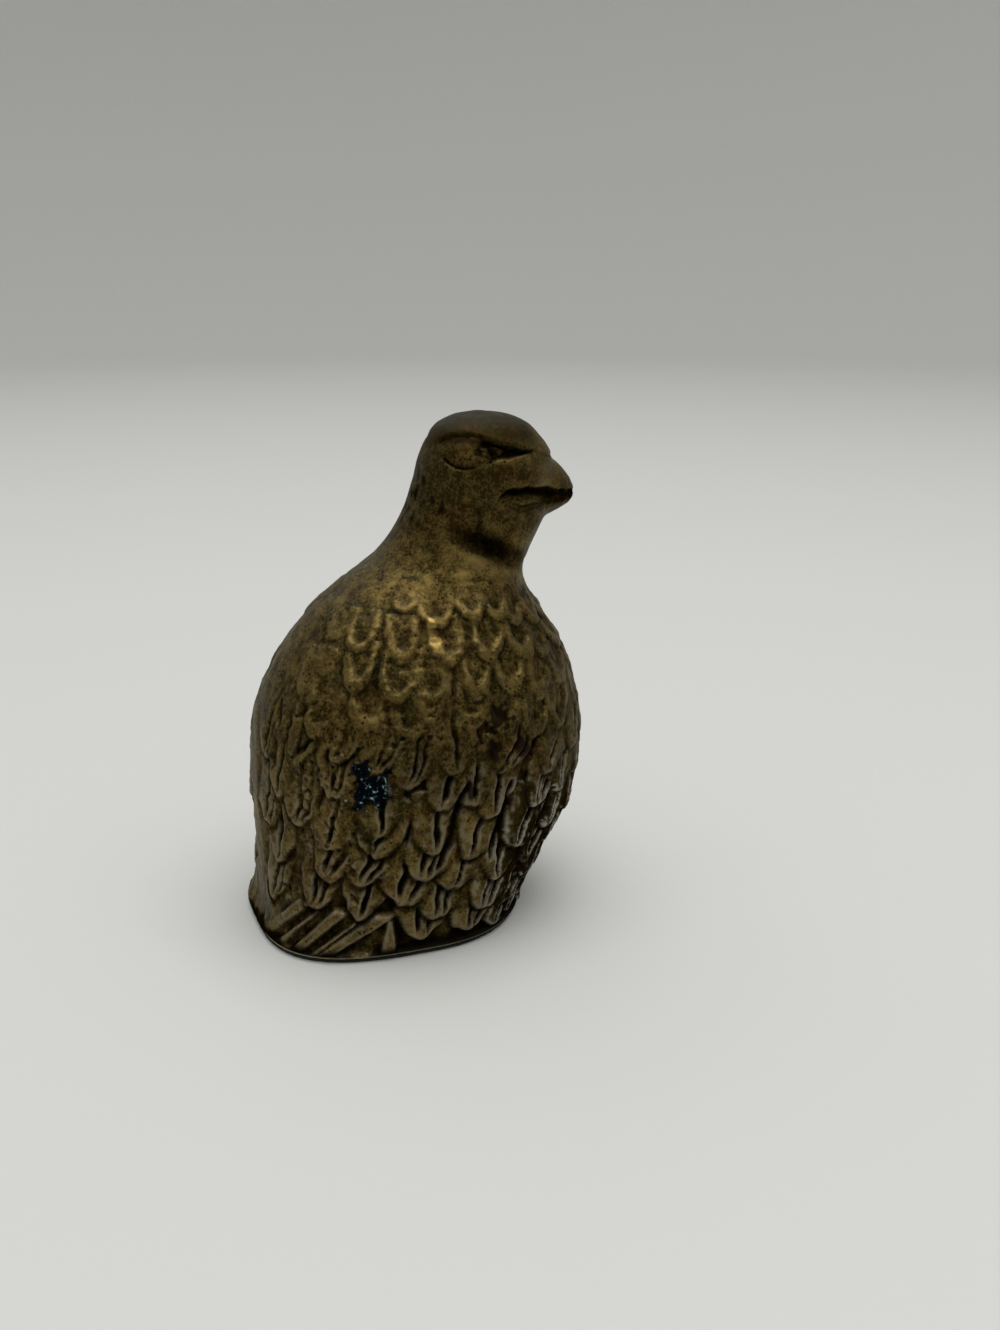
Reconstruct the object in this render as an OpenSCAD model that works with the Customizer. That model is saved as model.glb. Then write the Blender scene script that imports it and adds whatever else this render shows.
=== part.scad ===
// Cast brass quail paperweight: a hollow figure, weighted inside and closed with felt.
// Millimetres, +Z up. The bird faces -Y and its left side is +X. The origin is on
// the surface that it stands on, under the middle of the figure.

/* [Figure] */
// Height of the whole paperweight, felt included
total_h = 90; // [70:1:120]
// Length from the front of the breast to the tail
body_len = 62; // [50:1:80]
// Width across the flanks
body_w = 50; // [40:1:65]

/* [Beak] */
// How far the beak stands out from the face
beak_len = 5.5; // [3:0.5:9]
// Width of the beak at the face
beak_w = 10; // [6:0.5:13]
// Height of the beak at the face
beak_h = 11; // [7:0.5:14]
// How far the beak's tip lies below the crown
beak_drop = 14; // [11:0.5:17]

/* [Casting] */
// Wall of the hollow casting, measured level
wall_t = 4; // [3:0.25:5]
// Height of the straight part of the cavity above the rim
cavity_wall_h = 42; // [30:1:46]
// Height of the dome that closes the cavity
cavity_dome_h = 14; // [8:1:18]
// Width of the ground rim that the felt is stuck to
rim_w = 2.2; // [1.5:0.1:2.6]

/* [Base] */
// Thickness of the board that closes the cavity
board_t = 1.6; // [1:0.1:3]
// Clearance around the board in its rebate
board_gap = 0.2; // [0.1:0.05:0.4]
// Thickness of the felt pad
felt_t = 0.8; // [0.5:0.1:3]
// Thickness of the adhesive under the rim
glue_t = 0.2; // [0.1:0.05:0.5]
// How far the felt stays inside the rim's edge
felt_inset = 0.6; // [0.3:0.1:1.2]

/* [Ballast] */
// Shrinkage gap between the poured ballast and the cavity
ballast_gap = 0.1; // [0.05:0.05:0.3]

/* [Hidden] */

brass = "#6b5528";
plaster = "#d8d2c4";
greyboard = "#8d8578";
adhesive = "#c9b98a";
felt_green = "#26402f";

rim_z = felt_t + glue_t;
ledge_z = rim_z + board_t;
figure_h = total_h - rim_z;
cavity_wall_z = rim_z + cavity_wall_h;
beak_z = total_h - beak_drop;

// Stations of the figure, from the rim up to the crown. Each holds the height above
// the rim as a percentage of the figure's height, the reach of the breast, the reach of
// the back and the place of the widest point as percentages of the body's length, and
// the width as a percentage of the body's width. Reaches to the front count as positive.
STATIONS = [
    [  0, 39, 40, 5, 91.5],
    [  3, 41.5, 37.5, 5, 92],
    [  7, 45, 37, 5, 93.5],
    [ 13, 50.5, 37, 6, 96],
    [ 24, 57.5, 37.5, 7, 100],
    [ 34, 60, 37.5, 8, 100],
    [ 45, 58, 35, 10, 95],
    [ 55, 53, 27.5, 13, 83],
    [ 63, 45.5, 18.5, 17, 66],
    [ 68, 42, 9.5, 21, 53],
    [ 73, 44.5, -0.5, 24, 44],
    [ 80, 50, -8, 27, 41],
    [ 87, 52, -12, 30, 40],
    [ 92, 51.5, -14, 31, 38],
    [ 96.5, 46.5, -17.5, 31, 29.5],
    [ 99, 39.5, -23.5, 31, 18],
    [100, 31.5, -30.5, 31, 1]
];

// Squareness of the level sections: 2 is an ellipse
section_power = 2.15;
// Squareness of the tail's corners at the rim, which fades out above tail_h
tail_power = 3;
tail_h = 14;
// Bluntness of the beak: 0.5 is a half ellipsoid and 1 a paraboloid
beak_fullness = 0.7;

around = 64;         // points around each section
wall_rows = 40;      // rows from the rim to the start of the crown
crown_rows = 13;     // rows over the crown, closer together towards its top
crown_start = 95;    // percentage of the figure's height where they begin
cavity_rows = 14;
dome_rows = 7;

// The middle of the figure's box lies on the Z axis
breast_reach = max([for (s = STATIONS) s[1]]) * body_len / 100;
beak_tip_reach = column(percent_of(beak_z), 1) * body_len / 100 + beak_len;
tail_reach = max([for (s = STATIONS) s[2]]) * body_len / 100;
box_shift = (max(breast_reach, beak_tip_reach) - tail_reach) / 2;

// Slope of column c of STATIONS at station i, for a curve through all of them
function slope(i, c) =
    let(a = max(i - 1, 0), b = min(i + 1, len(STATIONS) - 1))
    (STATIONS[b][c] - STATIONS[a][c]) / (STATIONS[b][0] - STATIONS[a][0]);

// Index of the station at or below height p, in percent
function station_below(p) =
    max([for (i = [0 : len(STATIONS) - 2]) if (STATIONS[i][0] <= p) i]);

// Column c at height p, on a smooth curve through the stations
function column(p, c) =
    let(
        i = station_below(p),
        span = STATIONS[i + 1][0] - STATIONS[i][0],
        t = (p - STATIONS[i][0]) / span
    )
    (2 * t^3 - 3 * t^2 + 1) * STATIONS[i][c]
    + (t^3 - 2 * t^2 + t) * span * slope(i, c)
    + (3 * t^2 - 2 * t^3) * STATIONS[i + 1][c]
    + (t^3 - t^2) * span * slope(i + 1, c);

function percent_of(z) = min(max((z - rim_z) / figure_h * 100, 0), 100);

// How far the beak stands in front of the face at height z and side offset x
function beak_reach(z, x) =
    let(
        up = (z - beak_z) / (beak_h / 2),
        across = x / (beak_w / 2)
    )
    beak_len * max(1 - up^2 - across^2, 0)^beak_fullness;

// One level section at height z, drawn in by inset and then made smaller by shrink
function section(z, inset = 0, shrink = 1, beak = false) =
    let(
        p = percent_of(z),
        widest = column(p, 3) * body_len / 100,
        front = (column(p, 1) * body_len / 100 - widest - inset) * shrink,
        back = (column(p, 2) * body_len / 100 + widest - inset) * shrink,
        half = (column(p, 4) * body_w / 200 - inset) * shrink,
        corner = section_power
            + (tail_power - section_power) * max(1 - (z - rim_z) / tail_h, 0)
    )
    [for (k = [0 : around - 1])
        let(
            turn = 360 * k / around,
            ahead = cos(turn),
            aside = sin(turn),
            power = ahead > 0 ? section_power : corner,
            reach = (abs(ahead)^power + abs(aside)^power)^(-1 / power),
            x = half * aside * reach,
            y = widest + (ahead > 0 ? front : back) * ahead * reach
        )
        [x, box_shift - y - (beak && ahead > 0 ? beak_reach(z, x) : 0), z]
    ];

function flat(section) = [for (p = section) [p[0], p[1]]];

// Rows of the outside, from the top row of the crown down to the rim
function outside_rows() = concat(
    [for (i = [1 : crown_rows])
        let(p = 100 - (100 - crown_start) * (i / crown_rows)^2)
        section(rim_z + figure_h * p / 100, beak = true)],
    [for (i = [1 : wall_rows])
        section(rim_z + figure_h * crown_start / 100 * (1 - i / wall_rows), beak = true)]
);

// Rows of the cavity, from its mouth at the ledge up to the last row of its dome
function cavity(gap = 0) = concat(
    [for (i = [0 : cavity_rows])
        section(ledge_z + (cavity_wall_z - ledge_z) * i / cavity_rows, wall_t + gap)],
    [for (i = [1 : dome_rows - 1])
        let(rise = 90 * i / dome_rows)
        section(cavity_wall_z + (cavity_dome_h - gap) * sin(rise), wall_t + gap, cos(rise))]
);

// The middle of a level section
function middle(z) =
    let(s = section(z, wall_t))
    [0, (s[0][1] + s[around / 2][1]) / 2, z];

// A closed skin over rows of equal length, with a point beyond each end
module skin(first, rows, last) {
    count = len(rows);
    points = concat([first], [for (r = rows) each r], [last]);
    end = len(points) - 1;
    faces = concat(
        [for (k = [0 : around - 1]) [0, 1 + k, 1 + (k + 1) % around]],
        [for (i = [0 : count - 2], k = [0 : around - 1])
            let(a = 1 + i * around + k, b = 1 + i * around + (k + 1) % around)
            each [[a, a + around, b], [b, a + around, b + around]]],
        [for (k = [0 : around - 1])
            let(base = 1 + (count - 1) * around)
            [base + k, end, base + (k + 1) % around]]
    );
    polyhedron(points, faces);
}

// The brass figure: one hollow casting, with a rebate for the board inside its ground rim
module body_casting() {
    crown = [0, box_shift - column(100, 3) * body_len / 100, total_h];
    rebate = [
        section(rim_z, rim_w),
        [for (p = section(rim_z, rim_w)) [p[0], p[1], ledge_z]]
    ];
    roof = middle(cavity_wall_z + cavity_dome_h);
    color(brass) skin(crown, concat(outside_rows(), rebate, cavity()), roof);
}

// Plaster poured into the cavity, level with the ledge
module ballast_fill() {
    roof = middle(cavity_wall_z + cavity_dome_h - ballast_gap);
    rows = cavity(ballast_gap);
    bottom = middle(ledge_z);
    color(plaster) skin(bottom, rows, roof);
}

// The board that closes the cavity, let into the rim
module backing_board() {
    color(greyboard) translate([0, 0, rim_z])
        linear_extrude(board_t) polygon(flat(section(rim_z, rim_w + board_gap)));
}

module felt_adhesive() {
    color(adhesive) translate([0, 0, felt_t])
        linear_extrude(glue_t) polygon(flat(section(rim_z, felt_inset)));
}

module felt_pad() {
    color(felt_green) linear_extrude(felt_t) polygon(flat(section(rim_z, felt_inset)));
}

body_casting();
ballast_fill();
backing_board();
felt_adhesive();
felt_pad();
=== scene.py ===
"""Looks of a cast brass quail paperweight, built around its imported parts.

The sculpting classes work in millimetres in the part's own frame: +Z is up, the bird
faces -Y and its left side is +X. "Forward" counts from the figure's own middle towards
the beak. Meshes are made in metres.
"""
import logging
import math
from collections.abc import Callable
from dataclasses import dataclass, field
from enum import Enum
from typing import ClassVar

import bmesh
import bpy
import numpy as np
from mathutils import Matrix, Vector


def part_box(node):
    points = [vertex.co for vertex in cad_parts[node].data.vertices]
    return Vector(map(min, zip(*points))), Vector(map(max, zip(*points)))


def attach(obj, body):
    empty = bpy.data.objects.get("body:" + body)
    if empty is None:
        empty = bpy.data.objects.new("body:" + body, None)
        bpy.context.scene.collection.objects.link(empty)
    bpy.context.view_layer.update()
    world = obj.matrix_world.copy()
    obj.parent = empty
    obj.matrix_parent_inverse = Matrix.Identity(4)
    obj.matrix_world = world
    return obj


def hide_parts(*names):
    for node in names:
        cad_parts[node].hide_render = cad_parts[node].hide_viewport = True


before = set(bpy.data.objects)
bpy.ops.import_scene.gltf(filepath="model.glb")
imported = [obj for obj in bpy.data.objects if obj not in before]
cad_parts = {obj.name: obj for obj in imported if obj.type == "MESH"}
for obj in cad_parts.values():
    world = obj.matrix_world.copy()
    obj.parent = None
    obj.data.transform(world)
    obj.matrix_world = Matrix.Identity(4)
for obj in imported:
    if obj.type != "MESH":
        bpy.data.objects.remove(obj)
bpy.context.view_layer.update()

Array = np.ndarray
Socket = bpy.types.NodeSocket
Mesh = bpy.types.Mesh
Net = bmesh.types.BMesh
LOG = logging.getLogger("quail")
MM = 0.001


def smoothstep(low: float, high: float, value: Array) -> Array:
    """Rise smoothly from 0 at low to 1 at high."""
    t = np.clip((value - low) / (high - low), 0.0, 1.0)
    return t * t * (3.0 - 2.0 * t)


def band(value: Array, rise: tuple, fall: tuple) -> Array:
    """Rise smoothly from 0 to 1 and fall to 0 again.

    Args:
        value: Where to read it.
        rise: Where the rise starts and where it ends.
        fall: Where the result is 0 again and where the fall starts.

    Returns:
        Values from 0 to 1.
    """
    return smoothstep(*rise, value) * smoothstep(*fall, value)


def smooth_union(a: Array, b: Array, blend: float) -> Array:
    """Join two distance fields with a fillet.

    Args:
        a: First field.
        b: Second field.
        blend: Size of the fillet, in millimetres.

    Returns:
        The joined field.
    """
    h = np.clip(0.5 + 0.5 * (b - a) / blend, 0.0, 1.0)
    return b + (a - b) * h - blend * h * (1.0 - h)


def curve(points: tuple, at: Array) -> Array:
    """Read a line of (place, value) points at given places."""
    places, values = zip(*points)
    return np.interp(at, places, values)


def beside_line(start: tuple, end: tuple, u: Array, v: Array) -> tuple[Array, Array]:
    """Distance from (u, v) to a straight line, and the share of the line passed there.

    Args:
        start: First end of the line.
        end: Its other end.
        u: First coordinates.
        v: Second coordinates.

    Returns:
        The distance, and the share from 0 to 1.
    """
    du, dv = end[0] - start[0], end[1] - start[1]
    share = np.clip(((u - start[0]) * du + (v - start[1]) * dv) / (du * du + dv * dv), 0.0, 1.0)
    return np.hypot(u - start[0] - share * du, v - start[1] - share * dv), share


def stroke_distance(points: tuple, u: Array, v: Array) -> Array:
    """Distance from (u, v) to a line of straight pieces through points."""
    pieces = [beside_line(a, b, u, v)[0] for a, b in zip(points[:-1], points[1:])]
    return np.min(pieces, axis=0)


@dataclass
class HandWaver:
    """Gentle unevenness of a hand-modelled pattern: a sum of seeded waves."""

    seed: int
    shortest: float
    longest: float
    waves: int = 28

    def __call__(self, points: Array) -> Array:
        """Evaluate the unevenness.

        Args:
            points: Places in millimetres, one row each.

        Returns:
            Values around zero, mostly between -1 and 1.
        """
        rng = np.random.default_rng(self.seed)
        total = np.zeros(len(points))
        for _ in range(self.waves):
            way = rng.normal(size=3)
            way *= 2.0 * math.pi / (np.linalg.norm(way) * rng.uniform(self.shortest, self.longest))
            total += np.sin(points @ way + rng.uniform(0.0, 2.0 * math.pi))
        return total / math.sqrt(self.waves)


@dataclass
class FigureForm:
    """The smooth figure: level sections between the rim and the crown, with a beak.

    The stations are those of the casting: height, breast reach, back reach, place of the
    widest point and width, as percentages of the figure's height, length and width.
    """

    low: Array
    high: Array
    stations: tuple = (
        (0, 39, 40, 5, 91.5), (3, 41.5, 37.5, 5, 92), (7, 45, 37, 5, 93.5), (13, 50.5, 37, 6, 96),
        (24, 57.5, 37.5, 7, 100), (34, 60, 37.5, 8, 100), (45, 58, 35, 10, 95), (55, 53, 27.5, 13, 83),
        (63, 45.5, 18.5, 17, 66), (68, 42, 9.5, 21, 53), (73, 44.5, -0.5, 24, 44), (80, 50, -8, 27, 41),
        (87, 52, -12, 30, 40), (92, 51.5, -14, 31, 38), (96.5, 46.5, -17.5, 31, 29.5),
        (99, 39.5, -23.5, 31, 18), (100, 31.5, -30.5, 31, 1),
    )
    section_power: float = 2.15
    tail_power: float = 3.0
    tail_height: float = 14.0
    # Forward place, top, bottom and half width of the beak, from inside the head to the tip
    beak: tuple = (
        (22, 84.0, 70.0, 7.5), (28, 83.5, 70.6, 6.6), (30.5, 82.8, 71.0, 5.7), (32, 82.0, 71.4, 5.0),
        (33.5, 81.0, 72.0, 4.3), (34.7, 79.8, 72.5, 3.6), (35.9, 78.3, 73.0, 2.7),
        (36.7, 76.8, 73.7, 1.7), (37.2, 75.4, 75.0, 0.2),
    )
    beak_power: float = 2.2
    beak_blend: float = 0.9

    def __post_init__(self) -> None:
        """Work the driving sizes out from the casting's box."""
        self.rim_z = float(self.low[2])
        self.crown_z = float(self.high[2])
        table = np.array(self.stations, dtype=float)
        self._heights = table[:, 0]
        self._keys = table[:, 1:]
        slopes = np.empty_like(self._keys)
        slopes[1:-1] = (self._keys[2:] - self._keys[:-2]) / (self._heights[2:] - self._heights[:-2])[:, None]
        slopes[0] = (self._keys[1] - self._keys[0]) / (self._heights[1] - self._heights[0])
        slopes[-1] = (self._keys[-1] - self._keys[-2]) / (self._heights[-1] - self._heights[-2])
        self._slopes = slopes
        dense = self._percent_columns(np.linspace(0.0, 100.0, 801))
        self.width = float(self.high[0] - self.low[0]) / dense[:, 3].max() * 100.0
        self.length = float(self.high[1] - self.low[1]) / (dense[:, 0].max() + dense[:, 1].max()) * 100.0
        self.shift = float(self.high[1]) - dense[:, 1].max() * self.length / 100.0

    def _percent_columns(self, percent: Array) -> Array:
        """Columns of the stations at given heights, on a smooth curve through them.

        Args:
            percent: Heights, as percentages of the figure's.

        Returns:
            The columns after the first, one row for each height.
        """
        i = np.clip(np.searchsorted(self._heights, percent, side="right") - 1, 0, len(self._heights) - 2)
        span = (self._heights[i + 1] - self._heights[i])[..., None]
        t = (percent - self._heights[i])[..., None] / span
        return (
            (2 * t**3 - 3 * t**2 + 1) * self._keys[i]
            + (t**3 - 2 * t**2 + t) * span * self._slopes[i]
            + (3 * t**2 - 2 * t**3) * self._keys[i + 1]
            + (t**3 - t**2) * span * self._slopes[i + 1]
        )

    def forward(self, y: Array) -> Array:
        """Turn a Y coordinate into a forward one."""
        return self.shift - y

    def reaches(self, z: Array) -> tuple[Array, Array, Array, Array]:
        """Sizes of the level section at height z.

        Args:
            z: Heights in millimetres.

        Returns:
            Front and back half lengths from the widest point, that point's forward place
            and the half width.
        """
        percent = np.clip((z - self.rim_z) / (self.crown_z - self.rim_z) * 100.0, 0.0, 100.0)
        columns = self._percent_columns(percent)
        widest = columns[..., 2] * self.length / 100.0
        front = columns[..., 0] * self.length / 100.0 - widest
        back = columns[..., 1] * self.length / 100.0 + widest
        return front, back, widest, columns[..., 3] * self.width / 200.0

    def corner_power(self, z: Array) -> Array:
        """Squareness of the back of the section at height z."""
        fade = np.clip(1.0 - (z - self.rim_z) / self.tail_height, 0.0, 1.0)
        return self.section_power + (self.tail_power - self.section_power) * fade

    def body_field(self, x: Array, y: Array, z: Array) -> Array:
        """Level distance to the smooth body, negative inside.

        Args:
            x: Places to the side.
            y: Places along the figure.
            z: Heights.

        Returns:
            The distances, in millimetres.
        """
        front, back, widest, half = self.reaches(z)
        ahead = self.forward(y) - widest
        power = np.where(ahead > 0, self.section_power, self.corner_power(z))
        reach = np.where(ahead > 0, front, back)
        norm = ((np.abs(ahead) / reach) ** power + (np.abs(x) / half) ** power) ** (1.0 / power)
        radius = np.hypot(ahead, x)
        return np.maximum(radius - radius / np.maximum(norm, 1e-6), z - self.crown_z)

    def beak_field(self, x: Array, y: Array, z: Array) -> Array:
        """Distance across the beak's length to its skin, negative inside.

        Args:
            x: Places to the side.
            y: Places along the figure.
            z: Heights.

        Returns:
            The distances, in millimetres.
        """
        table = np.array(self.beak)
        ahead = self.forward(y)
        top, bottom, half = (np.interp(ahead, table[:, 0], table[:, k]) for k in (1, 2, 3))
        up = z - (top + bottom) / 2.0
        tall = (top - bottom) / 2.0
        power = self.beak_power
        norm = ((np.abs(up) / tall) ** power + (np.abs(x) / half) ** power) ** (1.0 / power)
        radius = np.hypot(up, x)
        skin = radius - radius / np.maximum(norm, 1e-6)
        return np.maximum(skin, np.maximum(ahead - table[-1, 0], table[0, 0] - ahead))

    def value(self, points: Array) -> Array:
        """Distance-like field of the whole smooth figure at points."""
        x, y, z = points[..., 0], points[..., 1], points[..., 2]
        return smooth_union(self.body_field(x, y, z), self.beak_field(x, y, z), self.beak_blend)

    def gradient(self, points: Array, step: float = 0.06) -> Array:
        """Slope of the field at points, by central differences.

        Args:
            points: Places in millimetres.
            step: Size of the differences.

        Returns:
            One slope for each point.
        """
        slope = np.empty_like(points)
        for axis in range(3):
            move = np.zeros(3)
            move[axis] = step
            slope[:, axis] = (self.value(points + move) - self.value(points - move)) / (2.0 * step)
        return slope

    def normals(self, points: Array) -> Array:
        """Unit normals of the smooth figure at points near it."""
        slope = self.gradient(points)
        return slope / np.maximum(np.linalg.norm(slope, axis=1, keepdims=True), 1e-9)

    def project(self, points: Array, rounds: int = 4) -> Array:
        """Move points onto the smooth figure along its slope.

        Args:
            points: Places near the figure.
            rounds: How often to move them.

        Returns:
            The moved points.
        """
        for _ in range(rounds):
            slope = self.gradient(points)
            square = np.maximum((slope**2).sum(axis=1, keepdims=True), 0.05)
            move = self.value(points)[:, None] * slope / square
            points = points - np.clip(move, -0.6, 0.6)
        return points

    def ring(self, z: float, count: int, inset: float = 0.0, shrink: float = 1.0) -> Array:
        """Points spaced evenly around a level section, from the middle of the back.

        Args:
            z: Height of the section.
            count: How many points.
            inset: How far they lie inside the skin.
            shrink: Scale of the section around its widest point.

        Returns:
            One row of coordinates for each point.
        """
        front, back, widest, half = (float(v) for v in self.reaches(np.array(z)))
        turn = np.linspace(0.0, 2.0 * math.pi, 721)
        ahead, aside = -np.cos(turn), np.sin(turn)
        power = np.where(ahead > 0, self.section_power, self.corner_power(np.array(z)))
        reach = (np.abs(ahead) ** power + np.abs(aside) ** power) ** (-1.0 / power)
        along = np.where(ahead > 0, front - inset, back - inset) * ahead * reach * shrink
        x = (half - inset) * aside * reach * shrink
        y = self.shift - widest - along
        travelled = np.concatenate([[0.0], np.cumsum(np.hypot(np.diff(x), np.diff(y)))])
        stops = np.arange(count) / count * travelled[-1]
        return np.stack(
            [np.interp(stops, travelled, x), np.interp(stops, travelled, y), np.full(count, z)], axis=1
        )


def surface_net(values: Array, origin: Array, step: float) -> tuple[Array, Array]:
    """Mesh the zero surface of a sampled field, with one vertex in each crossed cell.

    Args:
        values: Field on a regular grid, negative inside.
        origin: Place of the grid's first point.
        step: Spacing of the grid.

    Returns:
        Vertices, and quads that face outwards.
    """
    inside = values < 0
    cells = tuple(n - 1 for n in values.shape)
    corners = [np.array(c) for c in np.ndindex(2, 2, 2)]
    count = np.zeros(cells, dtype=np.int8)
    for corner in corners:
        count += inside[tuple(slice(c, c + n) for c, n in zip(corner, cells))]
    crossed = np.argwhere((count > 0) & (count < len(corners)))
    index = np.full(cells, -1)
    index[tuple(crossed.T)] = np.arange(len(crossed))

    total = np.zeros((len(crossed), 3))
    hits = np.zeros((len(crossed), 1))
    for first in corners:
        for axis in np.flatnonzero(first == 0):
            along = np.eye(3, dtype=int)[axis]
            a = values[tuple((crossed + first).T)]
            b = values[tuple((crossed + first + along).T)]
            cut = (a < 0) != (b < 0)
            share = (a / np.where(cut, a - b, 1.0))[:, None]
            total[cut] += (first + share * along)[cut]
            hits[cut] += 1
    vertices = origin + step * (crossed + total / hits)

    quads = []
    for axis in range(3):
        across, up = np.eye(3, dtype=int)[(axis + 1) % 3], np.eye(3, dtype=int)[(axis + 2) % 3]
        near = [slice(None)] * 3
        far = [slice(None)] * 3
        near[axis], far[axis] = slice(0, -1), slice(1, None)
        edge = np.argwhere(inside[tuple(near)] != inside[tuple(far)])
        edge = edge[(edge[:, (axis + 1) % 3] > 0) & (edge[:, (axis + 2) % 3] > 0)]
        quad = np.stack(
            [index[tuple((edge - move).T)] for move in (across + up, up, 0 * up, across)], axis=1
        )
        leaving = inside[tuple(edge.T)]
        quads.append(np.where(leaving[:, None], quad, quad[:, ::-1]))
    return vertices, np.concatenate(quads)


@dataclass
class Neighbours:
    """Averages over the vertices that share an edge."""

    edges: Array
    count: int

    def mean(self, values: Array) -> Array:
        """Average each vertex's neighbours.

        Args:
            values: One number for each vertex.

        Returns:
            The averages.
        """
        a, b = self.edges[:, 0], self.edges[:, 1]
        total = np.bincount(a, values[b], self.count) + np.bincount(b, values[a], self.count)
        degree = np.bincount(a, minlength=self.count) + np.bincount(b, minlength=self.count)
        return total / np.maximum(degree, 1)

    def blur(self, values: Array, rounds: int) -> Array:
        """Smooth values over the mesh by repeated half steps.

        Args:
            values: One number for each vertex.
            rounds: How many half steps.

        Returns:
            The smoothed numbers.
        """
        for _ in range(rounds):
            values = 0.5 * values + 0.5 * self.mean(values)
        return values


@dataclass(frozen=True)
class Oval:
    """An oval in side view, in millimetres."""

    ahead: float
    z: float
    half_length: float
    half_height: float
    slant: float = 0.0

    def away(self, ahead: Array, z: Array) -> Array:
        """Distance from the oval's middle, as a share of its size: 1 is on its edge."""
        along = ahead - self.ahead
        return np.hypot(along / self.half_length, (z - self.z + self.slant * along) / self.half_height)


@dataclass
class HeadSculpture:
    """Brow, eyes, mouth and throat, as depths on the smooth head.

    Lines are drawn in side view, as (forward, height) or (forward, depth) in millimetres. A fade
    holds the places where it starts and where it is full.
    """

    form: FigureForm
    neck_fade: tuple = (59.0, 63.0)
    crown_fade: tuple = (85.5, 88.5)
    crown_rise: float = 0.4
    shake: float = 0.1
    brow: tuple = (
        (9.5, 85.4), (11, 86.4), (12.8, 87.2), (15.3, 87.3), (17, 86.9), (20, 85.9), (22.8, 85.2),
        (25.6, 84.4), (29.4, 83.3), (33.5, 82.1),
    )
    brow_depth: tuple = (
        (9.5, 0.0), (12, 0.35), (16, 0.4), (19, 0.6), (23, 0.95), (25.5, 0.8), (27, 0.25), (30, 0.3),
        (33, 0.2),
    )
    socket_floor: tuple = ((15.5, 84.0), (17.8, 83.0), (21.3, 83.1), (25.8, 84.1), (28, 83.5))
    socket_depth: float = 0.9
    socket_rear: tuple = (15.5, 18.5)
    socket_front: tuple = (27.0, 25.4)
    eyeball: Oval = Oval(18.2, 84.6, 2.2, 1.0)
    eye_darkening: Oval = Oval(17.6, 84.7, 2.6, 1.35)
    eye_pad: Oval = Oval(13.6, 84.2, 3.0, 1.7)
    cracked_skin: Oval = Oval(14.5, 84.6, 5.0, 3.0)
    eyelid: tuple = ((15.6, 86.5), (17.4, 86.3), (19.2, 85.6), (20.6, 84.9))
    eye_pad_edge: tuple = (
        (10.4, 83.8), (11.2, 82.7), (12.1, 82.1), (13.6, 81.8), (15.2, 82.0), (16.8, 82.5), (18, 83.1),
    )
    mouth_top: tuple = (
        (18.5, 76.0), (19.4, 77.1), (20.8, 78.0), (22.2, 78.4), (25.3, 78.4), (29, 77.6), (32, 76.8),
        (34.5, 76.4), (37.5, 75.7),
    )
    mouth_bottom: tuple = (
        (18.5, 75.6), (19.4, 76.0), (21.2, 75.0), (23.7, 74.0), (26.6, 74.2), (31, 73.7), (33.5, 73.6),
        (37.5, 73.9),
    )
    # Depth of the mouth from the upper bill's edge, at 0, down to the jaw, at 1
    mouth_profile: tuple = (
        (-0.4, 0.0), (-0.12, 0.1), (0.0, 0.03), (0.16, -0.8), (0.34, -0.95), (0.43, -0.25), (0.5, -0.22),
        (0.57, -0.55), (0.65, -0.2), (0.73, -0.18), (0.82, -0.45), (0.9, -0.12), (0.98, -0.35), (1.1, -0.1),
        (1.3, 0.0),
    )
    mouth_corner: tuple = (18.3, 20.4)
    bill_fade: tuple = (27.5, 31.5)
    bill_tip: tuple = (26.5, 29.5)
    throat: tuple = (
        (9, 71.0), (12, 70.1), (15, 69.1), (17, 68.1), (21, 66.0), (24, 64.7), (27, 63.8), (29, 63.6),
    )
    throat_depth: float = 1.6
    # Where shade is painted under the jaw, with dark patina there
    throat_shade: Oval = Oval(17.6, 68.3, 5.6, 2.4, slant=0.4)
    cheek_low: tuple = (70.0, 73.0)
    cheek_high: tuple = (82.0, 79.0)
    cheek_front: tuple = (18.0, 15.0)

    def depth(self, points: Array) -> Array:
        """How far the sculpted head stands out from the smooth one.

        Args:
            points: Places on the smooth figure.

        Returns:
            Heights along the normal, in millimetres.
        """
        ahead, z = self._drawn(points)
        total = self._brow(ahead, z) + self._eye(points, ahead, z)
        total += self._mouth_fade(ahead) * curve(self.mouth_profile, self._mouth_share(ahead, z))
        total -= self.throat_depth * self._throat(np.abs(points[:, 0]), ahead, z)
        total += self.crown_rise * smoothstep(*self.crown_fade, z)
        return total * smoothstep(*self.neck_fade, z)

    def patina_and_shade(self, points: Array) -> Array:
        """Where the head is darkened: painted shade in the eye sockets, the mouth, under the bill's tip and
        under the jaw, and dark patina under the jaw, in the cheeks and in the cracks.

        Args:
            points: Places on the smooth figure.

        Returns:
            Strengths from 0 to 1.
        """
        ahead, z = self._drawn(points)
        patchy = 0.75 + 0.35 * HandWaver(seed=53, shortest=0.8, longest=2.2)(points)
        # Painted shade under the jaw, with dark patina
        under = smoothstep(1.65, 0.3, self.throat_shade.away(ahead, z))
        cheek = band(z, self.cheek_low, self.cheek_high) * smoothstep(*self.cheek_front, ahead)
        streaks = HandWaver(seed=54, shortest=0.9, longest=2.4)(points * np.array([1.0, 1.0, 0.28]))
        total = self._eye_shade_and_cracks(points, ahead, z, patchy) + self._mouth_shade(ahead, z, patchy)
        total += 0.8 * cheek * smoothstep(0.3, 1.2, streaks) + 1.05 * under * (0.8 + 0.2 * patchy)
        return np.clip(total, 0.0, 1.0)

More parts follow.
